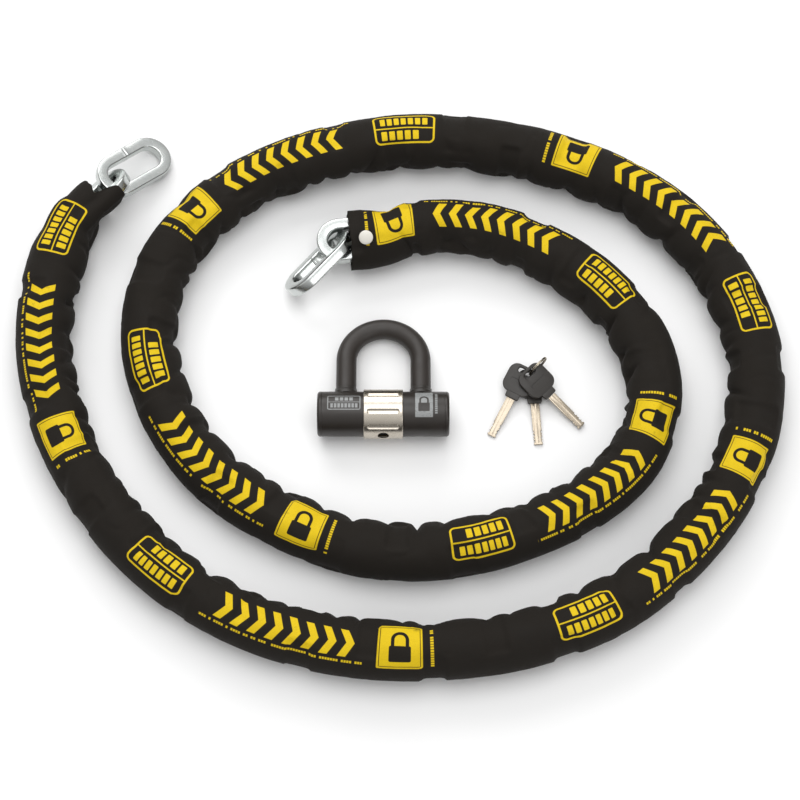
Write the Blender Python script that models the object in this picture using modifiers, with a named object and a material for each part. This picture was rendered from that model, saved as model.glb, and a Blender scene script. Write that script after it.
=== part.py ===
"""Sleeved security chain lying in a two-turn spiral, with a mini D padlock and three keys on a ring.

Metres, +Z up, floor at z = 0. +X runs along the spiral's long side. The chain's route starts at its
outer end and winds inwards; the padlock and its keys lie inside the spiral.
"""

import math

import bmesh
import bpy
from mathutils import Matrix, Vector

GAP = 0.0003

# Chain: square-section links, alternate ones turned a quarter round.
BAR = 0.010
LINK_LENGTH = 0.077
LINK_WIDTH = 0.042
LINK_EDGE = 0.0014
LINK_SEGMENTS = 7
PLAIN_SEGMENTS = 3
LINK_COUNT = 55
PITCH_JOINED = 0.0550
PITCH_FREE = 0.0509
RUN_LENGTH = 7
RUN_COUNT = 7
FIRST_RUN_LINK = 4
CHAIN_HEIGHT = 0.025
FIRST_TWIST = -45.0
LAST_TWIST = 90.0

# Fabric sleeve over the chain.
SLEEVE_APOTHEM = 0.025
SLEEVE_WALL = 0.001
SLEEVE_SIDES = 12
SLEEVE_STATIONS = 64

# Centreline of the sleeve, outer end first: hand-set points some 60 mm apart.
ROUTE = (
    (-0.2745, 0.1915), (-0.294, 0.171), (-0.313, 0.124), (-0.3205, 0.074), (-0.3185, 0.024),
    (-0.3075, -0.023), (-0.2885, -0.068), (-0.255, -0.121), (-0.209, -0.169), (-0.152, -0.207),
    (-0.088, -0.232), (-0.020, -0.2435), (0.052, -0.2425), (0.122, -0.229), (0.189, -0.200),
    (0.2455, -0.153), (0.288, -0.096), (0.3125, -0.034), (0.316, 0.034), (0.296, 0.099),
    (0.259, 0.154), (0.206, 0.195), (0.144, 0.223), (0.078, 0.2385), (0.008, 0.243),
    (-0.062, 0.232), (-0.128, 0.206), (-0.184, 0.164), (-0.219, 0.106), (-0.226, 0.038),
    (-0.207, -0.026), (-0.168, -0.081), (-0.110, -0.1225), (-0.042, -0.150), (0.030, -0.155),
    (0.097, -0.140), (0.1575, -0.112), (0.2045, -0.070), (0.225, -0.012), (0.214, 0.048),
    (0.176, 0.098), (0.126, 0.133), (0.072, 0.153), (0.012, 0.155), (-0.0190, 0.1458),
    (-0.0455, 0.1430),
)

# Bare links at the two ends.
OUTER_REACH = ((-0.2560, 0.2080), (-0.2410, 0.2210))
LINK_01_CENTRE = (-0.2478, 0.2204, 0.0164)
LINK_01_HEADING = math.radians(41.0)
LINK_01_PITCH = math.radians(-16.8)
LINK_01_LEAN = math.radians(8.9)
INNER_LINK_CENTRE = (-0.0385, 0.1433, 0.025)
INNER_LINK_HEADING = math.radians(186.0)
LINK_55_CENTRE = (-0.0746, 0.1205, 0.0226)
LINK_55_HEADING = math.radians(227.0)
LINK_55_PITCH = math.radians(-4.3)
LINK_55_LEAN = math.radians(52.2)

# Rivet that pins the sleeve to the last sleeved link.
RIVET_POSITION = (-0.0317, 0.1457, 0.0256)
RIVET_LEAN = math.radians(26.0)
RIVET_CAP_RADIUS = 0.0066
RIVET_CAP_HEIGHT = 0.0021
RIVET_POST_RADIUS = 0.0021
WASHER_RADIUS = 0.0031
WASHER_THICKNESS = 0.0005

# Padlock, in its own frame: crossbar along X, shackle towards +Y.
LOCK_CENTRE_X = -0.0158
LOCK_CENTRE_Y = -0.0260
HOUSING_RADIUS = 0.020
HOUSING_WALL = 0.003
HOUSING_LENGTH = 0.109
CAP_LENGTH = 0.004
CAP_EDGE = 0.0028
CORE_RADIUS = 0.0167
CORE_LENGTH = 0.096
COLLAR_RADIUS = 0.022
COLLAR_BORE = 0.0203
COLLAR_LENGTH = 0.035
KEYHOLE_RADIUS = 0.0050
LEG_OFFSET = 0.0333
LEG_STRAIGHT = 0.0545
LEG_DEPTH = 0.008
BOW_SEGMENTS = 16
BAR_RADIUS = 0.0077
JACKET_RADIUS = 0.00905
JACKET_WALL = 0.0011
JACKET_START = 0.0190
LEG_BORE_RADIUS = 0.0081
SEAL_RADIUS = 0.0110
SEAL_BORE = 0.0094
SEAL_BASE = 0.0172
SEAL_TOP = 0.0212
CYLINDER_RADIUS = 0.0089
CYLINDER_BORE = 0.0072
CYLINDER_FRONT = -0.0178
PLUG_RADIUS = 0.0069
PLUG_BORE = 0.0059
PLUG_FRONT = -0.0163
DISC_RADIUS = 0.0056
DISC_COUNT = 8
DISC_THICKNESS = 0.0011
DISC_PITCH = 0.0017
KEYWAY = (0.0084, 0.0030)
CAM_HALF_LENGTH = 0.0090
CAM_HALF_WIDTH = 0.0048
CAM_THICKNESS = 0.0036
CAM_CENTRE_Y = 0.0041
CAM_CAVITY_RADIUS = 0.0104
BOLT_RADIUS = 0.0038
BOLT_INNER = 0.0057
BOLT_OUTER = 0.0247
BOLT_AXIS_Y = 0.0044
NOTCH_DEPTH = 0.0048

# Keys: moulded head, blade of half-round bar.
HEAD_LENGTH = 0.0272
HEAD_WIDTH = 0.0280
HEAD_THICKNESS = 0.0036
HEAD_CORNER = 0.008
HEAD_SLOT = (0.0050, 0.0130)
HEAD_SLOT_OFFSET = -0.0086
BLADE_WIDTH = 0.0078
BLADE_THICKNESS = 0.0024
BLADE_LENGTH = 0.0385
CUT_DEPTHS = (0.0012, 0.0018, 0.0009, 0.0020, 0.0014)
CUT_RADIUS = 0.0020
CUT_PITCH = 0.0042
FOOT_LENGTH = 0.0075
COLLAR_LENGTH = 0.0052
COLLAR_WIDTH = 0.0125
KEY_PIVOT = (0.1150, 0.0160)
KEY_RING_CENTRE = (0.1230, 0.0236, 0.0123)
KEY_RING_HEADING = math.radians(46.0)
KEY_RING_RADIUS = 0.0105
KEY_RING_WIDTH = 0.0022
KEY_RING_THICKNESS = 0.0012
KEY_RING_SIDES = 28
# Head centre x, y, z, heading in the floor's plane, and dip of the blade towards the floor.
KEYS = {
    "middle": (0.1187, 0.0100, 0.0046, math.radians(-86.0), math.radians(3.1)),
    "left": (0.1072, 0.0112, 0.0098, math.radians(-118.0), math.radians(8.3)),
    "right": (0.1212, 0.0090, 0.0147, math.radians(-44.0), math.radians(12.7)),
}

COLOURS = {
    "fabric": ((0.012, 0.012, 0.013), 0.92, 0.0),
    "zinc": ((0.62, 0.64, 0.66), 0.34, 1.0),
    "rivet": ((0.80, 0.79, 0.75), 0.45, 0.0),
    "black_coat": ((0.020, 0.021, 0.023), 0.42, 0.0),
    "black_vinyl": ((0.018, 0.018, 0.019), 0.5, 0.0),
    "nickel": ((0.62, 0.59, 0.54), 0.32, 1.0),
    "steel": ((0.55, 0.56, 0.58), 0.38, 1.0),
    "brass": ((0.70, 0.52, 0.25), 0.35, 1.0),
    "black_plastic": ((0.022, 0.022, 0.024), 0.45, 0.0),
    "nickel_silver": ((0.66, 0.63, 0.55), 0.30, 1.0),
}

PARTS = "chain_lock"
CUTTERS = "cutters"


# ---------------------------------------------------------------- scene and materials

def clear_scene():
    for obj in list(bpy.data.objects):
        bpy.data.objects.remove(obj, do_unlink=True)


def collection(name):
    found = bpy.data.collections.get(name)
    if found is None:
        found = bpy.data.collections.new(name)
        bpy.context.scene.collection.children.link(found)
    return found


def material(slot):
    found = bpy.data.materials.get(slot)
    if found is None:
        colour, roughness, metallic = COLOURS[slot]
        found = bpy.data.materials.new(slot)
        found.use_nodes = True
        shader = found.node_tree.nodes["Principled BSDF"]
        shader.inputs["Base Color"].default_value = (*colour, 1.0)
        shader.inputs["Roughness"].default_value = roughness
        shader.inputs["Metallic"].default_value = metallic
        found.diffuse_color = (*colour, 1.0)
    return found


def add_part(name, mesh, slot, matrix=None, parent=None):
    """One named sub-part. Its matrix is relative to its parent."""
    obj = bpy.data.objects.new(name, mesh)
    collection(PARTS).objects.link(obj)
    mesh.materials.clear()
    mesh.materials.append(material(slot))
    if parent is not None:
        obj.parent = parent
    obj.matrix_local = matrix or Matrix.Identity(4)
    return obj


def add_empty(name, matrix, parent=None):
    obj = bpy.data.objects.new(name, None)
    collection(PARTS).objects.link(obj)
    obj.empty_display_size = 0.01
    if parent is not None:
        obj.parent = parent
    obj.matrix_local = matrix
    return obj


def smooth(mesh, degrees=35.0):
    mesh.shade_smooth()
    mesh.set_sharp_from_angle(angle=math.radians(degrees))


# ---------------------------------------------------------------- shape helpers

def mesh_from_curve(curve, name):
    """The evaluated curve as a mesh with its caps welded on."""
    holder = bpy.data.objects.new(name, curve)
    bpy.context.scene.collection.objects.link(holder)
    graph = bpy.context.evaluated_depsgraph_get()
    mesh = bpy.data.meshes.new_from_object(holder.evaluated_get(graph))
    mesh.name = name
    bpy.data.objects.remove(holder, do_unlink=True)
    shape = bmesh.new()
    shape.from_mesh(mesh)
    bmesh.ops.remove_doubles(shape, verts=shape.verts, dist=1e-6)
    shape.to_mesh(mesh)
    shape.free()
    return mesh


def flat_outline(name, outlines, thickness, edge=0.0):
    """Prism over closed outlines in the XY plane, centred on z = 0, its edges chamfered."""
    curve = bpy.data.curves.new(name, "CURVE")
    curve.dimensions = "2D"
    curve.fill_mode = "BOTH"
    curve.extrude = thickness / 2 - edge
    curve.bevel_depth = edge
    curve.bevel_resolution = 0
    for outline in outlines:
        spline = curve.splines.new("POLY")
        spline.points.add(len(outline) - 1)
        for point, (x, y) in zip(spline.points, outline):
            point.co = (x, y, 0.0, 1.0)
        spline.use_cyclic_u = True
    return mesh_from_curve(curve, name)


def stadium(half_length, radius, segments):
    """Closed outline of a slot with round ends, long side along X."""
    points = []
    for side, start in ((1, -90.0), (-1, 90.0)):
        for i in range(segments + 1):
            angle = math.radians(start + 180.0 * i / segments)
            x = side * (half_length - radius) + radius * math.cos(angle)
            points.append((x, radius * math.sin(angle)))
    return points


def rounded_rectangle(length, width, corner, segments, centre=(0.0, 0.0)):
    points = []
    for sx, sy, start in ((1, 1, 0.0), (-1, 1, 90.0), (-1, -1, 180.0), (1, -1, 270.0)):
        for i in range(segments + 1):
            angle = math.radians(start + 90.0 * i / segments)
            x = centre[0] + sx * (length / 2 - corner) + corner * math.cos(angle)
            y = centre[1] + sy * (width / 2 - corner) + corner * math.sin(angle)
            points.append((x, y))
    return points


def turned(name, profile, sides):
    """Body turned about Z from a profile of (radius, z), top to bottom on its outer side."""
    shape = bmesh.new()
    verts = [shape.verts.new((r, 0.0, z)) for r, z in profile]
    closed = profile[0][0] > 0.0
    for a, b in zip(verts, verts[1:]):
        shape.edges.new((a, b))
    if closed:
        shape.edges.new((verts[-1], verts[0]))
    mesh = bpy.data.meshes.new(name)
    shape.to_mesh(mesh)
    shape.free()
    holder = bpy.data.objects.new(name, mesh)
    bpy.context.scene.collection.objects.link(holder)
    screw = holder.modifiers.new("turn", "SCREW")
    screw.steps = sides
    screw.render_steps = sides
    screw.use_merge_vertices = True
    screw.merge_threshold = 1e-6
    applied = apply_modifiers(holder)
    smooth(applied)
    return applied


def apply_modifiers(holder):
    """The holder's evaluated mesh; the holder is removed."""
    graph = bpy.context.evaluated_depsgraph_get()
    mesh = bpy.data.meshes.new_from_object(holder.evaluated_get(graph))
    mesh.name = holder.name
    bpy.data.objects.remove(holder, do_unlink=True)
    return mesh


def cylinder(name, radius, low, high, sides, matrix=None):
    """Solid cylinder along its own Z from low to high, then moved by matrix."""
    shape = bmesh.new()
    bmesh.ops.create_cone(
        shape, cap_ends=True, segments=sides, radius1=radius, radius2=radius, depth=high - low,
        matrix=Matrix.Translation((0.0, 0.0, (low + high) / 2)),
    )
    if matrix is not None:
        bmesh.ops.transform(shape, matrix=matrix, verts=shape.verts)
    mesh = bpy.data.meshes.new(name)
    shape.to_mesh(mesh)
    shape.free()
    return mesh


def block(name, low, high):
    shape = bmesh.new()
    low, high = Vector(low), Vector(high)
    size = Matrix.Diagonal((*(high - low), 1.0))
    bmesh.ops.create_cube(shape, size=1.0, matrix=Matrix.Translation((low + high) / 2) @ size)
    mesh = bpy.data.meshes.new(name)
    shape.to_mesh(mesh)
    shape.free()
    return mesh


def combine(mesh, others, operation):
    """The mesh joined with, or cut by, each of the others in turn."""
    holder = bpy.data.objects.new(mesh.name, mesh)
    collection(PARTS).objects.link(holder)
    tools = []
    for number, other in enumerate(others):
        tool = bpy.data.objects.new(f"{mesh.name}_tool_{number}", other)
        collection(CUTTERS).objects.link(tool)
        tool.hide_render = True
        tool.display_type = "WIRE"
        modifier = holder.modifiers.new("combine", "BOOLEAN")
        modifier.operation = operation
        modifier.solver = "EXACT"
        modifier.object = tool
        tools.append(tool)
    result = apply_modifiers(holder)
    for tool in tools:
        bpy.data.objects.remove(tool, do_unlink=True)
    return result


def moved(mesh, matrix):
    mesh.transform(matrix)
    return mesh


ALONG_X = Matrix.Rotation(math.radians(90.0), 4, "Y")
ALONG_Y = Matrix.Rotation(math.radians(-90.0), 4, "X")


# ---------------------------------------------------------------- route

def smooth_route(points, per_span=24):
    """Dense points on the Catmull-Rom curve through the given points."""
    ends = [2 * Vector(points[0]) - Vector(points[1]), 2 * Vector(points[-1]) - Vector(points[-2])]
    knots = [ends[0], *(Vector(p) for p in points), ends[1]]
    dense = []
    for a, b, c, d in zip(knots, knots[1:], knots[2:], knots[3:]):
        for i in range(per_span):
            t = i / per_span
            dense.append(0.5 * ((2 * b) + (c - a) * t + (2 * a - 5 * b + 4 * c - d) * t * t
                                + (3 * b - a - 3 * c + d) * t ** 3))
    dense.append(knots[-2])
    return dense


def evenly_spaced(dense, count):
    """Points at equal steps of length along a dense line, both ends included."""
    lengths = [0.0]
    for a, b in zip(dense, dense[1:]):
        lengths.append(lengths[-1] + (b - a).length)
    points = []
    index = 0
    for i in range(count):
        target = lengths[-1] * i / (count - 1)
        while index < len(dense) - 2 and lengths[index + 1] < target:
            index += 1
        share = (target - lengths[index]) / (lengths[index + 1] - lengths[index])
        points.append(dense[index].lerp(dense[index + 1], share))
    return points


def step_along(dense, start_index, origin, distance):
    """First point past start_index on the dense line that lies the given distance from origin."""
    for index in range(start_index, len(dense) - 1):
        a, b = dense[index], dense[index + 1]
        if (b - origin).length >= distance:
            share = 0.0
            while (a.lerp(b, share) - origin).length < distance:
                share += 0.01
            return index, a.lerp(b, share)
    raise ValueError("the route is too short for the chain")


# ---------------------------------------------------------------- chain

def link_mesh(name, segments, edge):
    outer = stadium(LINK_LENGTH / 2 - edge, LINK_WIDTH / 2 - edge, segments)
    inner = stadium(LINK_LENGTH / 2 - BAR + edge, LINK_WIDTH / 2 - BAR + edge, segments)
    mesh = flat_outline(name, (outer, inner[::-1]), BAR, edge)
    if edge:
        smooth(mesh)
    return mesh


def link_matrix(centre, heading, pitch=0.0, roll=0.0):
    """Link with its length along heading, nose up by pitch, then rolled about its own length."""
    turn = Matrix.Rotation(heading, 4, "Z") @ Matrix.Rotation(-pitch, 4, "Y")
    return Matrix.Translation(centre) @ turn @ Matrix.Rotation(roll, 4, "X")


def is_joined(number):
    """True where link number and the next one belong to the same hidden run."""
    last_run_link = FIRST_RUN_LINK + RUN_LENGTH * RUN_COUNT - 1
    if number < FIRST_RUN_LINK or number >= last_run_link:
        return False
    return (number - FIRST_RUN_LINK + 1) % RUN_LENGTH != 0


def hook(number):
    """Distance between the centres of link number and the next one."""
    return PITCH_JOINED if is_joined(number) else PITCH_FREE


def link_roll(number):
    """Alternate links are a quarter turn apart, and the chain twists slowly along its length."""
    twist = FIRST_TWIST + (LAST_TWIST - FIRST_TWIST) * (number - 2) / (LINK_COUNT - 3)
    return math.radians((0.0 if number % 2 else 90.0) + twist)


def chain_frames():
    """Centre and heading of links 2 to 54: the chain hooks from link to link along the route."""
    centre = Vector(INNER_LINK_CENTRE[:2])
    along = Vector((math.cos(INNER_LINK_HEADING), math.sin(INNER_LINK_HEADING)))
    dense = smooth_route(ROUTE[::-1] + OUTER_REACH)
    frames = {54: (centre, INNER_LINK_HEADING)}
    joint = centre - along * hook(53) / 2
    index = 0
    while (dense[index] - centre).length < (joint - centre).length:
        index += 1
    for number in range(53, 1, -1):
        index, target = step_along(dense, index, joint, (hook(number) + hook(number - 1)) / 2)
        direction = (joint - target).normalized()
        frames[number] = (joint - direction * hook(number) / 2, math.atan2(direction.y, direction.x))
        joint = target
    return frames


def build_chain():
    frames = chain_frames()
    detailed = link_mesh("link", LINK_SEGMENTS, LINK_EDGE)
    for number in (2, 3, 53, 54):
        centre, heading = frames[number]
        matrix = link_matrix((*centre, CHAIN_HEIGHT), heading, 0.0, link_roll(number))
        if number == 54:
            matrix = link_matrix(INNER_LINK_CENTRE, INNER_LINK_HEADING)
        add_part(f"link_{number:02d}", detailed.copy(), "zinc", matrix)
    add_part("link_01", detailed.copy(), "zinc",
             link_matrix(LINK_01_CENTRE, LINK_01_HEADING, LINK_01_PITCH, LINK_01_LEAN))
    add_part("link_55", detailed.copy(), "zinc",
             link_matrix(LINK_55_CENTRE, LINK_55_HEADING, LINK_55_PITCH, LINK_55_LEAN))
    plain = link_mesh("plain_link", PLAIN_SEGMENTS, 0.0)
    for run in range(RUN_COUNT):
        first = FIRST_RUN_LINK + run * RUN_LENGTH
        shapes = []
        for number in range(first, first + RUN_LENGTH):
            centre, heading = frames[number]
            matrix = link_matrix((*centre, CHAIN_HEIGHT), heading, 0.0, link_roll(number))
            shapes.append(moved(plain.copy(), matrix))
        name = f"chain_run_{run + 1:02d}"
        shapes[0].name = name
        add_part(name, combine(shapes[0], shapes[1:], "UNION"), "zinc")


# ---------------------------------------------------------------- sleeve and rivet

def build_sleeve():
    points = evenly_spaced(smooth_route(ROUTE), SLEEVE_STATIONS)
    curve = bpy.data.curves.new("sleeve", "CURVE")
    curve.dimensions = "3D"
    curve.twist_mode = "Z_UP"
    curve.bevel_depth = SLEEVE_APOTHEM / math.cos(math.pi / SLEEVE_SIDES)
    curve.bevel_resolution = SLEEVE_SIDES // 2 - 2
    spline = curve.splines.new("POLY")
    spline.points.add(len(points) - 1)
    for point, (x, y) in zip(spline.points, points):
        point.co = (x, y, CHAIN_HEIGHT, 1.0)
        point.tilt = math.pi / SLEEVE_SIDES
    mesh = mesh_from_curve(curve, "sleeve")
    holder = bpy.data.objects.new("sleeve", mesh)
    bpy.context.scene.collection.objects.link(holder)
    wall = holder.modifiers.new("wall", "SOLIDIFY")
    wall.thickness = SLEEVE_WALL
    wall.offset = -1.0
    mesh = apply_modifiers(holder)
    hole = cylinder("rivet_hole", RIVET_POST_RADIUS + GAP, -0.03, 0.03, 10, rivet_matrix())
    mesh = combine(mesh, (hole,), "DIFFERENCE")
    smooth(mesh, 50.0)
    add_part("sleeve", mesh, "fabric")


def rivet_matrix():
    return Matrix.Translation(RIVET_POSITION) @ Matrix.Rotation(RIVET_LEAN, 4, "X")


def build_rivet():
    seat = SLEEVE_APOTHEM / math.cos(math.pi / SLEEVE_SIDES) + GAP
    post_end = -seat - GAP
    cap = [
        (0.0, seat + RIVET_CAP_HEIGHT), (0.45 * RIVET_CAP_RADIUS, seat + 0.86 * RIVET_CAP_HEIGHT),
        (0.8 * RIVET_CAP_RADIUS, seat + 0.48 * RIVET_CAP_HEIGHT), (RIVET_CAP_RADIUS, seat),
        (RIVET_POST_RADIUS, seat), (RIVET_POST_RADIUS, post_end), (0.0, post_end),
    ]
    add_part("rivet", turned("rivet", cap, 20), "rivet", rivet_matrix())
    washer = ring_profile(WASHER_RADIUS, RIVET_POST_RADIUS + GAP, -seat - WASHER_THICKNESS, -seat)
    add_part("rivet_washer", turned("rivet_washer", washer, 16), "rivet", rivet_matrix())


# ---------------------------------------------------------------- padlock

def lock_tilt():
    """The crossbar rests on its collar and the shackle's bow rests on the floor."""
    reach = LEG_STRAIGHT + LEG_OFFSET
    return math.asin((COLLAR_RADIUS - JACKET_RADIUS) / reach)


def shackle_path(start):
    """Points of the U from the left leg's start, round the bow, to the right leg's start."""
    points = [(-LEG_OFFSET, start)]
    for i in range(BOW_SEGMENTS + 1):
        angle = math.pi * (1.0 - i / BOW_SEGMENTS)
        points.append((LEG_OFFSET * math.cos(angle), LEG_STRAIGHT + LEG_OFFSET * math.sin(angle)))
    points.append((LEG_OFFSET, start))
    return points


def shackle_curve(name, start, radius, caps):
    curve = bpy.data.curves.new(name, "CURVE")
    curve.dimensions = "3D"
    curve.twist_mode = "Z_UP"
    curve.bevel_depth = radius
    curve.bevel_resolution = 3
    curve.use_fill_caps = caps
    points = shackle_path(start)
    spline = curve.splines.new("POLY")
    spline.points.add(len(points) - 1)
    for point, (x, y) in zip(spline.points, points):
        point.co = (x, y, 0.0, 1.0)
    return mesh_from_curve(curve, name)


def build_shackle(frame):
    bar = shackle_curve("shackle_bar", -LEG_DEPTH, BAR_RADIUS, True)
    notches = []
    for side in (-1, 1):
        inner_face = LEG_OFFSET - BAR_RADIUS
        seat = Matrix.Translation((0.0, BOLT_AXIS_Y, 0.0)) @ ALONG_X
        low, high = sorted((side * (inner_face - 0.002), side * (inner_face + NOTCH_DEPTH)))
        notches.append(cylinder("notch", BOLT_RADIUS + 2 * GAP, low, high, 16, seat))
    bar = combine(bar, notches, "DIFFERENCE")
    smooth(bar)
    add_part("shackle_bar", bar, "steel", parent=frame)
    jacket = shackle_curve("shackle_jacket", JACKET_START, JACKET_RADIUS, False)
    holder = bpy.data.objects.new("shackle_jacket", jacket)
    bpy.context.scene.collection.objects.link(holder)
    wall = holder.modifiers.new("wall", "SOLIDIFY")
    wall.thickness = JACKET_WALL
    wall.offset = -1.0
    jacket = apply_modifiers(holder)
    smooth(jacket)
    add_part("shackle_jacket", jacket, "black_vinyl", parent=frame)


def ring_profile(outer, bore, low, high, edge=0.0):
    """Tube's section, as (radius, z) down its outer side and back up its bore."""
    if not edge:
        return [(outer, high), (outer, low), (bore, low), (bore, high)]
    return [(outer - edge, high), (outer, high - edge), (outer, low + edge), (outer - edge, low),
            (bore, low), (bore, high)]


def build_housing(frame):
    half = HOUSING_LENGTH / 2
    inner = HOUSING_RADIUS - HOUSING_WALL
    tube = turned("housing", ring_profile(HOUSING_RADIUS, inner, -half, half), 32)
    tube = moved(tube, ALONG_X)
    cuts = [
        cylinder("cut", SEAL_RADIUS + GAP, 0.005, 0.030, 24,
                 Matrix.Translation((side * LEG_OFFSET, 0.0, 0.0)) @ ALONG_Y)
        for side in (-1, 1)
    ]
    cuts.append(cylinder("cut", CYLINDER_RADIUS + GAP, -0.030, -0.005, 24, ALONG_Y))
    tube = combine(tube, cuts, "DIFFERENCE")
    smooth(tube)
    add_part("crossbar_housing", tube, "black_coat", parent=frame)

    for name, side in (("end_cap_left", -1), ("end_cap_right", 1)):
        face = half + CAP_LENGTH
        stem = CORE_LENGTH / 2 + GAP
        profile = [
            (0.0, face), (HOUSING_RADIUS - CAP_EDGE, face),
            (HOUSING_RADIUS - 0.3 * CAP_EDGE, face - 0.3 * CAP_EDGE),
            (HOUSING_RADIUS, face - CAP_EDGE), (HOUSING_RADIUS, half + GAP),
            (CORE_RADIUS, half + GAP), (CORE_RADIUS, stem), (0.0, stem),
        ]
        cap = moved(turned(name, profile, 24), Matrix.Rotation(math.radians(side * 90.0), 4, "Y"))
        add_part(name, cap, "black_plastic", parent=frame)


def build_core(frame):
    core = cylinder("lock_core", CORE_RADIUS, -CORE_LENGTH / 2, CORE_LENGTH / 2, 28, ALONG_X)
    cuts = [
        cylinder("cut", LEG_BORE_RADIUS, -LEG_DEPTH - 0.0006, 0.030, 20,
                 Matrix.Translation((side * LEG_OFFSET, 0.0, 0.0)) @ ALONG_Y)
        for side in (-1, 1)
    ]
    cuts.append(cylinder("cut", CYLINDER_RADIUS + GAP, -0.030, 0.0004, 24, ALONG_Y))
    cuts.append(cylinder("cut", CAM_CAVITY_RADIUS, 0.0002, 0.0086, 24, ALONG_Y))
    cuts.append(cylinder("cut", BOLT_RADIUS + GAP, -0.027, 0.027, 16,
                         Matrix.Translation((0.0, BOLT_AXIS_Y, 0.0)) @ ALONG_X))
    core = combine(core, cuts, "DIFFERENCE")
    smooth(core)
    add_part("lock_core", core, "steel", parent=frame)


def build_collar(frame):
    half = COLLAR_LENGTH / 2
    ring = turned("keyhole_collar", ring_profile(COLLAR_RADIUS, COLLAR_BORE, -half, half, 0.0008), 36)
    ring = moved(ring, ALONG_X)
    hole = cylinder("cut", KEYHOLE_RADIUS, -0.030, -0.010, 20, ALONG_Y)
    ring = combine(ring, (hole,), "DIFFERENCE")
    smooth(ring)
    add_part("keyhole_collar", ring, "nickel", parent=frame)


def build_seals(frame):
    for name, side in (("leg_seal_left", -1), ("leg_seal_right", 1)):
        ring = turned(name, ring_profile(SEAL_RADIUS, SEAL_BORE, SEAL_BASE, SEAL_TOP, 0.0007), 20)
        seat = Matrix.Translation((side * LEG_OFFSET, 0.0, 0.0)) @ ALONG_Y
        add_part(name, moved(ring, seat), "black_plastic", parent=frame)


def build_cylinder(frame):
    profile = ring_profile(CYLINDER_RADIUS, CYLINDER_BORE, CYLINDER_FRONT, 0.0001)
    body = turned("cylinder_body", profile, 24)
    add_part("cylinder_body", moved(body, ALONG_Y), "brass", parent=frame)

    slot_length, slot_width = KEYWAY
    keyway_low = (-slot_length / 2, -0.040, -slot_width / 2)
    keyway_high = (slot_length / 2, -0.0024, slot_width / 2)
    plate = cylinder("drill_plate", PLUG_RADIUS, CYLINDER_FRONT, PLUG_FRONT - GAP, 20, ALONG_Y)
    plate = combine(plate, (block("cut", keyway_low, keyway_high),), "DIFFERENCE")
    add_part("drill_plate", plate, "steel", parent=frame)

    profile = [(0.0, -0.0002), (PLUG_RADIUS, -0.0002), (PLUG_RADIUS, PLUG_FRONT),
               (PLUG_BORE, PLUG_FRONT), (PLUG_BORE, -0.0018), (0.0, -0.0018)]
    plug = moved(turned("cylinder_plug", profile, 20), ALONG_Y)
    slot = block("cut", (-0.0009, -0.0150, 0.0050), (0.0009, -0.0025, 0.0080))
    plug = combine(plug, (slot,), "DIFFERENCE")
    smooth(plug)
    add_part("cylinder_plug", plug, "brass", parent=frame)
    bar = block("sidebar", (-0.0006, -0.0147, 0.0059), (0.0006, -0.0028, 0.0069))
    add_part("sidebar", bar, "steel", parent=frame)

    for number in range(DISC_COUNT):
        front = PLUG_FRONT + 0.0004 + number * DISC_PITCH
        disc = cylinder("disc", DISC_RADIUS, front, front + DISC_THICKNESS, 16, ALONG_Y)
        disc = combine(disc, (block("cut", keyway_low, keyway_high),), "DIFFERENCE")
        add_part(f"disc_{number + 1:02d}", disc, "brass", parent=frame)

    outline = stadium(CAM_HALF_LENGTH, CAM_HALF_WIDTH, 8)
    cam = flat_outline("cam", (outline,), CAM_THICKNESS)
    upright = Matrix.Rotation(math.radians(90.0), 4, "Y") @ ALONG_Y
    turn = Matrix.Translation((0.0, CAM_CENTRE_Y, 0.0)) @ upright
    add_part("cam", moved(cam, turn), "steel", parent=frame)

    for name, side in (("bolt_left", -1), ("bolt_right", 1)):
        low, high = sorted((side * BOLT_INNER, side * BOLT_OUTER))
        seat = Matrix.Translation((0.0, BOLT_AXIS_Y, 0.0)) @ ALONG_X
        add_part(name, cylinder(name, BOLT_RADIUS, low, high, 16, seat), "steel", parent=frame)


def build_padlock():
    place = Matrix.Translation((LOCK_CENTRE_X, LOCK_CENTRE_Y, COLLAR_RADIUS + GAP))
    frame = add_empty("padlock_frame", place @ Matrix.Rotation(-lock_tilt(), 4, "X"))
    build_shackle(frame)
    build_housing(frame)
    build_core(frame)
    build_collar(frame)
    build_seals(frame)
    build_cylinder(frame)


# ---------------------------------------------------------------- keys

def key_head_mesh():
    """Moulded head with a slot for the ring, blade towards +X."""
    outline = rounded_rectangle(HEAD_LENGTH, HEAD_WIDTH, HEAD_CORNER, 5)
    slot_length, slot_width = HEAD_SLOT
    slot = rounded_rectangle(slot_length, slot_width, 0.0018, 2, (HEAD_SLOT_OFFSET, 0.0))
    mesh = flat_outline("key_head", (outline, slot[::-1]), HEAD_THICKNESS)
    start = HEAD_LENGTH / 2
    collar = block("key_collar", (start - 0.002, -COLLAR_WIDTH / 2, -HEAD_THICKNESS / 2 + 0.0002),
                   (start + COLLAR_LENGTH, COLLAR_WIDTH / 2, HEAD_THICKNESS / 2 - 0.0002))
    return combine(mesh, (collar,), "UNION")


def key_blade_mesh():
    """Blade with a run of round cuts along one edge and a wider foot at its tip."""
    start = HEAD_LENGTH / 2 + COLLAR_LENGTH + GAP
    half = BLADE_WIDTH / 2
    blade = block("key_blade", (start, -half, -BLADE_THICKNESS / 2),
                  (start + BLADE_LENGTH, half, BLADE_THICKNESS / 2))
    cuts = []
    for number, depth in enumerate(CUT_DEPTHS):
        x = start + BLADE_LENGTH - FOOT_LENGTH - number * CUT_PITCH
        for side in (-1, 1):
            centre = Matrix.Translation((x, side * (half + CUT_RADIUS - depth), 0.0))
            cuts.append(cylinder("cut", CUT_RADIUS, -BLADE_THICKNESS, BLADE_THICKNESS, 10, centre))
    return combine(blade, cuts, "DIFFERENCE")


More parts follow.
